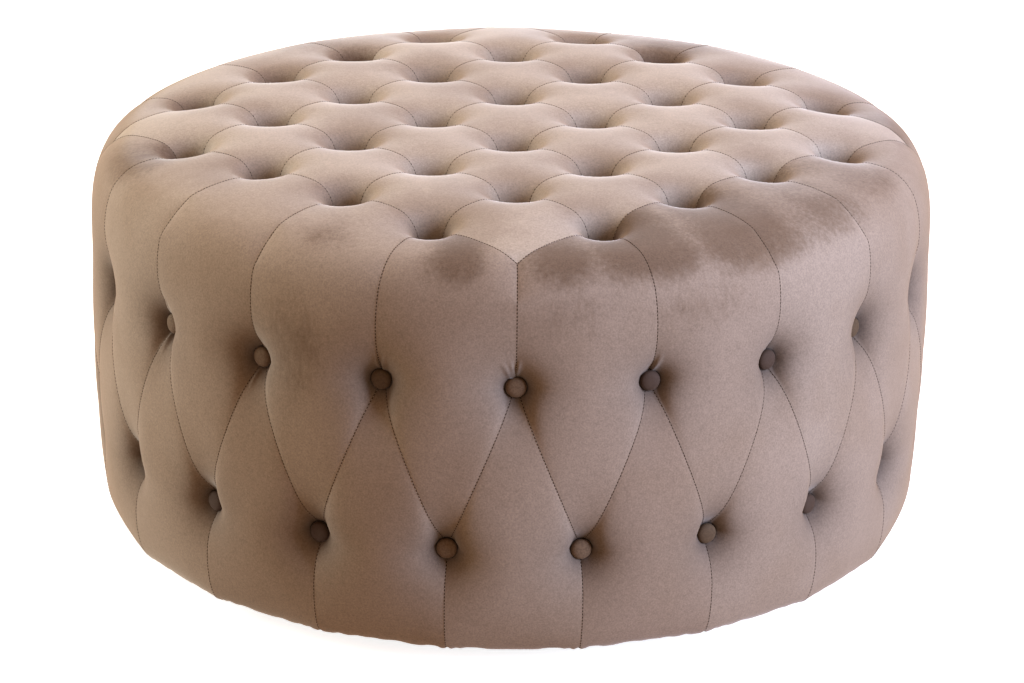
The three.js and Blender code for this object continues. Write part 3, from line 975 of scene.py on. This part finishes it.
bpy.ops.object.select_all(action="DESELECT")
bpy.ops.mesh.primitive_grid_add(x_subdivisions=11, y_subdivisions=1, size=1)
staple = bpy.context.object
bpy.ops.object.mode_set(mode="EDIT")
bpy.ops.mesh.select_all(action="SELECT")
bpy.ops.transform.resize(value=(STAPLE_CROWN, STAPLE_WIRE, 1))
bpy.ops.mesh.extrude_region_move(TRANSFORM_OT_translate={"value": (0, 0, -STAPLE_WIRE * STAPLE_FLAT)})
bpy.ops.mesh.select_all(action="DESELECT")
bpy.ops.object.mode_set(mode="OBJECT")
for face in staple.data.polygons:
    face.select = face.normal.z > 0.9 and abs(face.center.x) > STAPLE_CROWN * STAPLE_CORNER
bpy.ops.object.mode_set(mode="EDIT")
bpy.ops.mesh.extrude_region_move(TRANSFORM_OT_translate={"value": (0, 0, STAPLE_LEG)})
leave_editing()
staple_shape = staple.data
bpy.data.objects.remove(staple)

staples = []
for number in range(STAPLES):
    turn = (number + 0.5) * 2 * math.pi / STAPLES
    place = Vector((math.sin(turn), -math.cos(turn), 0)) * (COVER_RADIUS - STAPLE_INSET)
    place.z = COVER_HIGH.z - COVER_CLOTH - STAPLE_SINK
    move = Matrix.Translation(place) @ Matrix.Rotation(turn, 4, "Z")
    piece = copied(f"staple_{number + 1:02d}", staple_shape, move)
    staples.append(piece)
print("staples:", len(staples))

# %% [markdown]
# ## Feet
#
# Six low black feet are moulded in plastic, each with a rounded edge and a recess for its screw. They
# could keep the frame's plain faceted discs, but a round moulding needs a rounder outline. A closed
# profile is drawn as rings: a circle is extruded and resized from one ring to the next until it comes
# back to where it began.

# %% One foot, then six
FOOT_SIDES = 48
SHANK_HOLE = 2.9 * MM
RECESS_CLEARANCE = 1 * MM  # round the screw's head
RECESS_DEPTH = 6 * MM
FOOT_BEVEL = 0.4 * MM
foot_low, foot_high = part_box("foot_1")
foot_radius = (foot_high.x - foot_low.x) / 2
foot_height = foot_high.z - foot_low.z
screw_low, screw_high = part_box("foot_screw_1")
head_radius = (screw_high.x - screw_low.x) / 2
recess = head_radius + RECESS_CLEARANCE
# The profile as (radius, height): over the top, down the outside, across the sole and up the recess
profile = [
    (SHANK_HOLE, foot_height),
    (foot_radius - 1.2 * MM, foot_height),
    (foot_radius, foot_height - 1.2 * MM),
    (foot_radius, 3 * MM),
    (foot_radius - 0.7 * MM, 1.2 * MM),
    (foot_radius - 2.5 * MM, 0),
    (recess + 1 * MM, 0),
    (recess, 1 * MM),
    (recess, RECESS_DEPTH),
    (SHANK_HOLE, RECESS_DEPTH),
    (SHANK_HOLE, foot_height),
]
bpy.ops.object.select_all(action="DESELECT")
bpy.ops.mesh.primitive_circle_add(vertices=FOOT_SIDES, radius=profile[0][0], location=(0, 0, 0))
foot = bpy.context.object
foot.data.transform(Matrix.Translation((0, 0, foot_height)))
bpy.ops.object.mode_set(mode="EDIT")
bpy.ops.mesh.select_all(action="SELECT")
for (r, z), (next_r, next_z) in zip(profile, profile[1:]):
    ring_up(next_z - z, next_r / r)
bpy.ops.mesh.select_all(action="SELECT")
bpy.ops.mesh.remove_doubles(threshold=0.01 * MM)
leave_editing()
apply(foot, "BEVEL", width=FOOT_BEVEL, segments=2, limit_method="ANGLE", angle_limit=math.radians(30))
bpy.ops.object.shade_smooth_by_angle(angle=math.radians(50))
foot_shape = foot.data
bpy.data.objects.remove(foot)
feet = []
for number in range(1, 7):
    low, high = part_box(f"foot_{number}")
    stand = Matrix.Translation(((low.x + high.x) / 2, (low.y + high.y) / 2, low.z))
    piece = copied(f"moulded_foot_{number}", foot_shape, stand)
    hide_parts(f"foot_{number}")
    feet.append(piece)
print("feet:", len(feet), "with", len(foot_shape.polygons), "faces each")

# %% [markdown]
# ## Colours and nodes
#
# Colours are written as they look on a screen, in hex, and one function turns them into the linear
# values a shader works with. Another small function adds a node with its settings and its links.

# %% Helpers for materials
RGBA = {"data_type": "RGBA"}
FACTOR, FIRST, SECOND, MIXED = 0, 6, 7, 2  # the sockets of a Mix node that blends colours
SMOOTH = {"interpolation_type": "SMOOTHSTEP"}


def srgb(hex_text):
    """A colour given as sRGB hex, turned linear for the shader."""
    parts = [int(hex_text[i : i + 2], 16) / 255 for i in (0, 2, 4)]
    return (*[p / 12.92 if p <= 0.04045 else ((p + 0.055) / 1.055) ** 2.4 for p in parts], 1)


def add(tree, kind, settings=(), values=(), links=()):
    """Adds a node, sets its properties and the values of its inputs, and links other nodes' outputs to it."""
    node = tree.nodes.new("ShaderNode" + kind)
    for key, value in dict(settings).items():
        setattr(node, key, value)
    for key, value in dict(values).items():
        node.inputs[key].default_value = value
    for key, source in dict(links).items():
        tree.links.new(source, node.inputs[key])
    return node


def material(name):
    made = bpy.data.materials.new(name)
    made.use_nodes = True
    return made, made.node_tree, made.node_tree.nodes["Principled BSDF"]


def per_metre(size):
    """A noise scale whose features are about this size."""
    return 1 / size


print("brown in linear light:", [round(v, 3) for v in srgb("7C6352")[:3]])

# %% [markdown]
# ## Velvet
#
# Cut-pile polyester velvet: upright fibres about 1.5 mm long. Its colour depends on which way the pile leans,
# so each sewn panel has its own tone, hands leave brushed patches, and edges that curve away look lighter,
# which is what a shader's sheen does. The tone is also painted light: the top is painted lighter than the
# sides, as light falls from above. The tone could be one flat number for each panel, but on the sides the
# pile hangs, and it stands up again as the cloth turns over the shoulder, so the tone there grows with height
# and towards the middle, painted lighter as the cloth turns to face up. The tone, the nearness of a button,
# which sets painted shade in the pits, and a band of painted shade round the shoulder mixed with brushed
# places are stored on the mesh.

# %% Store each panel's tone with its painted light, the nearness of a button for painted pit shade, and the painted shoulder shade with brushed places
rng = np.random.default_rng(7)
PIT_SHADE_WIDTH = 23 * MM
# Painted light: the top's diamonds are painted lighter and the hanging sides darker, as the light from above
# falls on them; the pile's lean adds to the difference.
DIAMOND_NAP_AND_LIT_TONE, HANGING_NAP_AND_SHADED_TONE = 0.82, 0.27
SHOULDER_NAP_AND_LIT_TONE = 0.36  # added to the hanging tone at the top of the shoulder
TONE_SPREAD = 0.08  # how far one panel's tone may be from the next one's
# Painted shade in a band round the shoulder, where the pile's sheen turns over, with some brushed pile:
# degrees round, height, half width in degrees, half height and strength
SHADED_AND_BRUSHED_PLACES = [
    (6, 0.430, 7, 0.022, 0.9),
    (18, 0.434, 11, 0.026, 1.0),
    (34, 0.434, 12, 0.028, 1.0),
    (50, 0.434, 11, 0.022, 0.8),
    (66, 0.436, 10, 0.018, 0.6),
    (-8, 0.430, 5, 0.022, 0.9),
    (-27, 0.436, 6, 0.012, 0.45),
    (-29, 0.330, 5, 0.060, 0.55),
    (7, 0.385, 6, 0.030, 0.4),
    (25, 0.380, 9, 0.030, 0.4),
    (95, 0.430, 10, 0.020, 0.8),
    (150, 0.432, 14, 0.022, 0.9),
    (215, 0.428, 12, 0.022, 0.8),
    (285, 0.430, 9, 0.020, 0.7),
]
spot_places = np.array([place - facing * FLOOR_DROP for place, facing, _ in spots])


def store(piece, name, values):
    piece.data.attributes.new(name, "FLOAT", "POINT").data.foreach_set("value", values)


for number, piece in enumerate(panels):
    places = read_points(piece.data)
    # Painted shade: the nearer a button, the darker the velvet is painted in its pit.
    near = np.min([np.linalg.norm(places - spot, axis=1) for spot in spot_places], axis=0)
    store(piece, "pit", np.exp(-np.maximum(near - BUTTON_RADIUS, 0) / PIT_SHADE_WIDTH))
    tone = np.full(len(places), DIAMOND_NAP_AND_LIT_TONE)
    if number >= FIRST_SHIELD:
        # Painted light: over the shoulder the tone grows with height and towards the middle, as the cloth
        # turns to face the light above.
        away = np.hypot(places[:, 0], places[:, 1])
        over = np.clip((places[:, 2] - (crest - SHOULDER_HEIGHT)) / SHOULDER_HEIGHT, 0, 1)
        over *= np.clip((widest - away) / SHOULDER_WIDTH, 0, 1)
        tone = HANGING_NAP_AND_SHADED_TONE + SHOULDER_NAP_AND_LIT_TONE * over
    store(piece, "tone", tone + rng.uniform(-TONE_SPREAD, TONE_SPREAD))
    # Painted shade: the listed band round the shoulder darkens the velvet, together with the brushed pile.
    turn = np.degrees(np.arctan2(places[:, 0], -places[:, 1]))
    shade_and_brush = np.zeros(len(places))
    for at, level, wide, tall, strength in SHADED_AND_BRUSHED_PLACES if number >= FIRST_SHIELD else ():
        off = (turn - at + 180) % 360 - 180
        spot = np.exp(-((off / wide) ** 2) - ((places[:, 2] - level) / tall) ** 2)
        shade_and_brush = np.maximum(shade_and_brush, strength * spot)
    store(piece, "shoulder_shade_and_brushing", shade_and_brush)
print("tone, pit and rubbed stored on", len(panels), "panels")

# %% [markdown]
# The velvet's own colours vary at four sizes. Soft clouds of about 110 mm come from dyeing and handling.
# Brushed patches have edges of about 30 mm, broken into upright streaks about 4 mm wide where the pile lies
# over. Single fibres are too fine to show, so the pile is drawn as a grain about 2 mm coarse. A plain diffuse
# brown would look like felt; the sheen layer gives velvet its pale rims. The brown is painted darker towards
# the buttons, as painted shade in the pits, and a band round the shoulder is painted darker as painted shade,
# mixed with the brushed patches.

# %% Velvet material
velvet, tree, shader = material("cut_pile_polyester_velvet")
place = add(tree, "TexCoord").outputs["Object"]
upright = add(tree, "Mapping", {}, {"Scale": (1, 1, 0.3)}, {"Vector": place}).outputs["Vector"]
tone = add(tree, "Attribute", {"attribute_name": "tone"}).outputs["Fac"]
pit = add(tree, "Attribute", {"attribute_name": "pit"}).outputs["Fac"]
shoulder_shade_and_brushing = add(tree, "Attribute", {"attribute_name": "shoulder_shade_and_brushing"}).outputs["Fac"]
cloud, brush, streak, mottle, pile = (
    add(
        tree,
        "TexNoise",
        {},
        {"Scale": per_metre(size), "Detail": detail, "Roughness": rough},
        {"Vector": where},
    ).outputs["Fac"]
    for size, detail, rough, where in (
        (110 * MM, 3, 0.5, place),
        (30 * MM, 5, 0.5, place),
        (4 * MM, 3, 0.5, upright),
        (6 * MM, 3, 0.75, place),
        (1.8 * MM, 2, 0.6, place),
    )
)

# Panel tone, partly painted light that makes the top lighter than the sides, then soft warm clouds
base = add(tree, "Mix", RGBA, {FIRST: srgb("7C6352"), SECOND: srgb("BBAEA1")}, {FACTOR: tone})
cloudy = add(tree, "MapRange", SMOOTH, {"From Min": 0.38, "From Max": 0.7, "To Max": 0.5}, {"Value": cloud})
warmer = add(
    tree,
    "Mix",
    RGBA,
    {SECOND: srgb("85705F")},
    {FACTOR: cloudy.outputs["Result"], FIRST: base.outputs[MIXED]},
)
# Painted shade in the band round the shoulder, mixed with brushed patches with streaky edges
streaks = add(tree, "Math", {"operation": "MULTIPLY"}, {1: 0.45}, {0: streak})
patchy = add(tree, "Math", {"operation": "MULTIPLY_ADD"}, {1: 0.5}, {0: brush, 2: streaks.outputs[0]})
band_and_patches = add(tree, "Math", {"operation": "ADD"}, {}, {0: shoulder_shade_and_brushing, 1: patchy.outputs[0]})
lying = add(
    tree, "MapRange", SMOOTH, {"From Min": 0.6, "From Max": 1.35, "To Max": 0.75}, {"Value": band_and_patches.outputs[0]}
)
brushed_and_shaded = add(
    tree,
    "Mix",
    RGBA,
    {SECOND: srgb("5B4431")},
    {FACTOR: lying.outputs["Result"], FIRST: warmer.outputs[MIXED]},
)
# Painted shade: deeper brown in the pits round the buttons
pit_shade_share = add(tree, "Math", {"operation": "MULTIPLY"}, {1: 0.8}, {0: pit})
shaded = add(
    tree, "Mix", RGBA, {SECOND: srgb("403633")}, {FACTOR: pit_shade_share.outputs[0], FIRST: brushed_and_shaded.outputs[MIXED]}
)
# The crease right round a button, where no light gets in
edge = add(tree, "MapRange", SMOOTH, {"From Min": 0.92, "From Max": 0.99, "To Max": 0.85}, {"Value": pit})
creased = add(
    tree,
    "Mix",
    RGBA,
    {SECOND: srgb("1F1713")},
    {FACTOR: edge.outputs["Result"], FIRST: shaded.outputs[MIXED]},
)
# The grain of the pile
grain = add(tree, "Math", {"operation": "MULTIPLY_ADD"}, {1: 0.45}, {0: mottle, 2: pile}).outputs[0]
lift = add(tree, "MapRange", {}, {"From Min": 0.45, "To Min": 0.8, "To Max": 1.2}, {"Value": grain})
coloured = add(
    tree, "HueSaturation", {}, {}, {"Color": creased.outputs[MIXED], "Value": lift.outputs["Result"]}
)
bump = add(tree, "Bump", {}, {"Strength": 0.3, "Distance": 0.4 * MM}, {"Height": grain})
tree.links.new(coloured.outputs["Color"], shader.inputs["Base Color"])
tree.links.new(bump.outputs["Normal"], shader.inputs["Normal"])
shader.inputs["Roughness"].default_value = 0.95  # a pile has no gloss of its own
shader.inputs["Specular IOR Level"].default_value = 0.15
shader.inputs["Sheen Weight"].default_value = 0.85  # the tips of the pile catch the light at the rims
shader.inputs["Sheen Roughness"].default_value = 0.33
shader.inputs["Sheen Tint"].default_value = srgb("EADFD8")
for piece in panels:
    piece.data.materials.append(velvet)
print("velvet on", len(panels), "panels")

# %% [markdown]
# ## Velvet on the buttons
#
# The same velvet is pressed over the shells with heat, which lays its pile down and leaves it darker.
# Each disc was cut with its own turn to the pile, so neighbours differ. One colour for all would look
# printed, so three tones are shared out at random.

# %% Velvet pressed over the buttons
BUTTON_TONES = ("423128", "53402F", "6C5644")
button_finishes = []
for number, tone in enumerate(BUTTON_TONES):
    made, tree, shader = material(f"velvet_pressed_on_button_{number + 1}")
    place = add(tree, "TexCoord").outputs["Object"]
    # Flattened tufts of pile, drawn 2 mm coarse like the panels' grain
    pile = add(
        tree, "TexNoise", {}, {"Scale": per_metre(2 * MM), "Detail": 3}, {"Vector": place}
    ).outputs["Fac"]
    tufts = add(
        tree,
        "MapRange",
        SMOOTH,
        {"From Min": 0.35, "From Max": 0.65, "To Max": 0.35},
        {"Value": pile},
    )
    shade = add(
        tree,
        "Mix",
        RGBA,
        {FIRST: srgb(tone), SECOND: srgb("35261B")},
        {FACTOR: tufts.outputs["Result"]},
    )
    bump = add(tree, "Bump", {}, {"Strength": 0.3, "Distance": 0.3 * MM}, {"Height": pile})
    tree.links.new(shade.outputs[MIXED], shader.inputs["Base Color"])
    tree.links.new(bump.outputs["Normal"], shader.inputs["Normal"])
    shader.inputs["Roughness"].default_value = 0.8  # pressed pile shines a little more than standing pile
    shader.inputs["Specular IOR Level"].default_value = 0.2
    shader.inputs["Sheen Weight"].default_value = 0.12
    shader.inputs["Sheen Roughness"].default_value = 0.35
    shader.inputs["Sheen Tint"].default_value = srgb("D9C0AC")
    button_finishes.append(made)
for piece in button_pieces:
    piece.data.materials.append(button_finishes[rng.integers(0, len(button_finishes))])
print("button velvets:", [finish.name for finish in button_finishes])

# %% [markdown]
# ## Thread
#
# Spun polyester sewing thread, dyed dark brown. Its twist is about 0.5 mm, too fine to show, so it is
# drawn as a light and dark mottle 1 mm coarse, which keeps the stitches from looking like plastic.

# %% Thread material
thread_finish, tree, shader = material("polyester_thread_twisted")
place = add(tree, "TexCoord").outputs["Object"]
twist = add(tree, "TexNoise", {}, {"Scale": per_metre(1 * MM), "Detail": 1}, {"Vector": place}).outputs["Fac"]
dyed = add(tree, "Mix", RGBA, {FIRST: srgb("24170F"), SECOND: srgb("3D2C22")}, {FACTOR: twist})
bump = add(tree, "Bump", {}, {"Strength": 0.3, "Distance": 0.1 * MM}, {"Height": twist})
tree.links.new(dyed.outputs[MIXED], shader.inputs["Base Color"])
tree.links.new(bump.outputs["Normal"], shader.inputs["Normal"])
shader.inputs["Roughness"].default_value = 0.7
shader.inputs["Specular IOR Level"].default_value = 0.1  # spun thread is fluffy and hardly shines
for piece in threads:
    piece.data.materials.append(thread_finish)
print("thread on", len(threads), "pieces")

# %% [markdown]
# ## Foam
#
# Slabstock polyurethane foam, sawn and not skinned, so its open cells show. They are under 1 mm, too
# fine to show, and are drawn 1.5 mm across: small cups with pale rims, which give it a dry, crumbly look.

# %% Foam material
foam_finish, tree, shader = material("polyurethane_foam_cut")
place = add(tree, "TexCoord").outputs["Object"]
cells = add(tree, "TexVoronoi", {}, {"Scale": per_metre(1.5 * MM)}, {"Vector": place}).outputs["Distance"]
cupped = add(tree, "Mix", RGBA, {FIRST: srgb("D8C58E"), SECOND: srgb("EFE3BC")}, {FACTOR: cells})
bump = add(tree, "Bump", {}, {"Strength": 0.5, "Distance": 0.5 * MM}, {"Height": cells})
tree.links.new(cupped.outputs[MIXED], shader.inputs["Base Color"])
tree.links.new(bump.outputs["Normal"], shader.inputs["Normal"])
shader.inputs["Roughness"].default_value = 0.9
for piece in (slab, band):
    piece.data.materials.append(foam_finish)
print("foam on", slab.name, "and", band.name)

# %% [markdown]
# ## Black dust cloth
#
# Spun-bonded polypropylene, the thin black non-woven cloth that closes the bottom of most seats. Hot
# rollers weld its fibres in a grid of dots 2.5 mm apart. The dots give it a faint regular dimple, and
# the loose fibres between them a cloudy grey.

# %% Dust cloth material
cloth_finish, tree, shader = material("polypropylene_spun_bonded_cloth")
place = add(tree, "TexCoord").outputs["Object"]
dots = add(tree, "TexVoronoi", {}, {"Scale": per_metre(2.5 * MM), "Randomness": 0.15}, {"Vector": place})
fibres = add(
    tree, "TexNoise", {}, {"Scale": per_metre(6 * MM), "Detail": 5}, {"Vector": place}
).outputs["Fac"]
clouded = add(tree, "Mix", RGBA, {FIRST: srgb("17171A"), SECOND: srgb("2A2A2D")}, {FACTOR: fibres})
bump = add(tree, "Bump", {}, {"Strength": 0.4, "Distance": 0.3 * MM}, {"Height": dots.outputs["Distance"]})
tree.links.new(clouded.outputs[MIXED], shader.inputs["Base Color"])
tree.links.new(bump.outputs["Normal"], shader.inputs["Normal"])
shader.inputs["Roughness"].default_value = 0.75
cover.data.materials.append(cloth_finish)
print("dust cloth on", cover.name)

# %% [markdown]
# ## Black plastic
#
# The feet are injection-moulded polypropylene from a spark-eroded mould, whose fine pitting leaves a
# satin black. The pits are about 0.1 mm, too fine to show, so they are drawn 0.8 mm coarse and shallow.

# %% Foot material
plastic_finish, tree, shader = material("polypropylene_moulded_black")
place = add(tree, "TexCoord").outputs["Object"]
spark = add(
    tree, "TexNoise", {}, {"Scale": per_metre(0.8 * MM), "Detail": 2}, {"Vector": place}
).outputs["Fac"]
satin = add(tree, "Mix", RGBA, {FIRST: srgb("111112"), SECOND: srgb("1D1D1F")}, {FACTOR: spark})
bump = add(tree, "Bump", {}, {"Strength": 0.15, "Distance": 0.1 * MM}, {"Height": spark})
tree.links.new(satin.outputs[MIXED], shader.inputs["Base Color"])
tree.links.new(bump.outputs["Normal"], shader.inputs["Normal"])
shader.inputs["Roughness"].default_value = 0.45
for piece in feet:
    piece.data.materials.append(plastic_finish)
print("plastic on", len(feet), "feet")

# %% [markdown]
# ## Zinc-plated steel
#
# Staples and screws are drawn wire, plated with zinc. The plating crystals leave a pale, slightly
# patchy metal that reflects softly, so its roughness varies with them.

# %% Steel material
steel_finish, tree, shader = material("zinc_plated_steel_drawn")
place = add(tree, "TexCoord").outputs["Object"]
plating = add(
    tree, "TexNoise", {}, {"Scale": per_metre(3 * MM), "Detail": 3}, {"Vector": place}
).outputs["Fac"]
patched = add(tree, "Mix", RGBA, {FIRST: srgb("A9ABAE"), SECOND: srgb("C9CBCD")}, {FACTOR: plating})
dulled = add(tree, "MapRange", {}, {"To Min": 0.25, "To Max": 0.45}, {"Value": plating})
tree.links.new(patched.outputs[MIXED], shader.inputs["Base Color"])
tree.links.new(dulled.outputs["Result"], shader.inputs["Roughness"])
shader.inputs["Metallic"].default_value = 1.0
for piece in staples:
    piece.data.materials.append(steel_finish)
print("steel on", len(staples), "staples")

# %% [markdown]
# ## Wood
#
# The frame is birch plywood, rotary cut and sanded, and the posts are sawn pine. Wood's figure is long
# along the grain and narrow across it: about 14 mm wide in birch and 9 mm in pine, and stretched eight
# to ten times, along the sheet in the plywood and upwards in the posts.

# %% Wood materials
wood_finishes = {}
for name, light, dark, growth, stretch in (
    ("birch_plywood_sanded", "DDBF8F", "B98F5C", 14 * MM, (0.12, 1, 1)),
    ("pine_sawn", "E0BE87", "B5854B", 9 * MM, (1, 1, 0.1)),
):
    made, tree, shader = material(name)
    place = add(tree, "TexCoord").outputs["Object"]
    grain = add(tree, "Mapping", {}, {"Scale": stretch}, {"Vector": place}).outputs["Vector"]
    rings = {"Scale": per_metre(growth), "Detail": 5, "Distortion": 1.5}
    figure = add(tree, "TexNoise", {}, rings, {"Vector": grain}).outputs["Fac"]
    bands = add(tree, "MapRange", SMOOTH, {"From Min": 0.35, "From Max": 0.65}, {"Value": figure})
    coloured = add(
        tree,
        "Mix",
        RGBA,
        {FIRST: srgb(light), SECOND: srgb(dark)},
        {FACTOR: bands.outputs["Result"]},
    )
    bump = add(tree, "Bump", {}, {"Strength": 0.2, "Distance": 0.2 * MM}, {"Height": figure})
    tree.links.new(coloured.outputs[MIXED], shader.inputs["Base Color"])
    tree.links.new(bump.outputs["Normal"], shader.inputs["Normal"])
    shader.inputs["Roughness"].default_value = 0.65
    wood_finishes[name] = made


def finish_node(name, finish):
    """Puts a finish in every material slot of a node of the frame."""
    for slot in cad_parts[name].material_slots:
        slot.material = finish


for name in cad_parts:
    if name.startswith("foot_screw"):
        finish_node(name, steel_finish)
    elif name.startswith("post"):
        finish_node(name, wood_finishes["pine_sawn"])
    elif name.startswith("wall_panel") or name.endswith("_board"):
        finish_node(name, wood_finishes["birch_plywood_sanded"])
print("finished the frame's nodes with", list(wood_finishes), "and", steel_finish.name)

# %% [markdown]
# ## Floor
#
# The ottoman stands on a sweep of white paper that is lit from behind, so it stays white right up to the
# soft shadow. Paper would also throw light back up at the sides. That would flatten the pits, so the
# floor is left out of the light that bounces. A white dome, seen by the camera alone, carries the paper on
# beyond the floor's edge, so that the background is just as pale from a low angle.

# %% Floor
bpy.ops.object.select_all(action="DESELECT")
bpy.ops.mesh.primitive_plane_add(size=30, location=(0, 0, -0.5 * MM))
floor = bpy.context.object
floor.name = "floor"
floor.visible_diffuse = False
floor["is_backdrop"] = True
floor_finish, tree, shader = material("paper_backdrop_matt")
shader.inputs["Base Color"].default_value = srgb("F7F6F4")
shader.inputs["Emission Color"].default_value = srgb("FFFFFF")
shader.inputs["Emission Strength"].default_value = 0.8
shader.inputs["Roughness"].default_value = 0.95
shader.inputs["Specular IOR Level"].default_value = 0.1
floor.data.materials.append(floor_finish)
bpy.ops.mesh.primitive_uv_sphere_add(segments=48, ring_count=24, radius=14, location=(0, 0, 0))
dome = bpy.context.object
dome.name = "backdrop_dome"
dome.visible_diffuse = dome.visible_glossy = dome.visible_shadow = False
dome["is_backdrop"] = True
dome.data.materials.append(floor_finish)
print("floor at", round(floor.location.z * 1e3, 1), "mm")

# %% [markdown]
# ## Light
#
# A studio with one large softbox overhead, slightly behind, and one on each side: a strong cool one at
# the right front and a weaker, nearly neutral one on the left. They stand low, so they graze the sides and
# each pit gets a bright slope and a dark one. The room fills the rest with a warm glow. More fill would
# be easier to set, but it would hide the pits.


# %% Lights
def softbox(name, place, aim, size, power, colour):
    light = bpy.data.lights.new(name, "AREA")
    light.shape = "RECTANGLE"
    light.size, light.size_y = size
    light.energy = power
    light.color = srgb(colour)[:3]
    holder = bpy.data.objects.new(name, light)
    holder.location = place
    holder.rotation_euler = (Vector(aim) - Vector(place)).to_track_quat("-Z", "Y").to_euler()
    bpy.context.scene.collection.objects.link(holder)
    print(name, power, "W")


middle = (0, 0, crest / 2)
softbox("overhead_softbox", (-0.2, 1.3, 3.1), (0, 0, 0), (5.0, 3.6), 66, "FFEBE5")
softbox("left_softbox", (-2.9, 0.3, 1.0), middle, (1.2, 1.8), 84, "F2FFF9")
softbox("right_softbox", (2.7, -1.6, 1.1), middle, (1.2, 1.8), 197, "CADDFF")

world = bpy.data.worlds.new("studio")
world.use_nodes = True
world.node_tree.nodes["Background"].inputs["Color"].default_value = srgb("FFD2A4")
world.node_tree.nodes["Background"].inputs["Strength"].default_value = 0.49
bpy.context.scene.world = world
bpy.context.scene.view_settings.view_transform = "Standard"

# %% [markdown]
# ## Camera
#
# A long lens from in front and above, as for a catalogue: far enough away for the circle to stay round.

# %% Camera
AIM = Vector((0, 0, 0.189))
DISTANCE = 4.33
ELEVATION = math.radians(20.335)
AZIMUTH = math.radians(-0.95)
ROLL = math.radians(0.65)  # the camera leans a little to one side

lens = bpy.data.cameras.new("camera")
lens.lens = 138.8
lens.sensor_width = 36
lens.shift_x = 0.0027
lens.shift_y = 0.0034
back = Vector((
    math.sin(AZIMUTH) * math.cos(ELEVATION),
    -math.cos(AZIMUTH) * math.cos(ELEVATION),
    math.sin(ELEVATION),
))
camera = bpy.data.objects.new("camera", lens)
camera.location = AIM + back * DISTANCE
aim = (-back).to_track_quat("-Z", "Y").to_matrix()
camera.rotation_euler = (aim @ Matrix.Rotation(ROLL, 3, "Z")).to_euler()
bpy.context.scene.collection.objects.link(camera)
bpy.context.scene.camera = camera
print("camera", [round(v, 3) for v in camera.location])

# %% [markdown]
# ## Sizes and the end
#
# The skin has given its shape to the panels and the foam and is no longer needed. The boxes of the
# frame and of the finished model are written down, so that the two can be compared.

# %% Sizes and finish
bpy.data.objects.remove(skin_piece)
low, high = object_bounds()
print("box", [round(v, 4) for v in (*low, *high)])
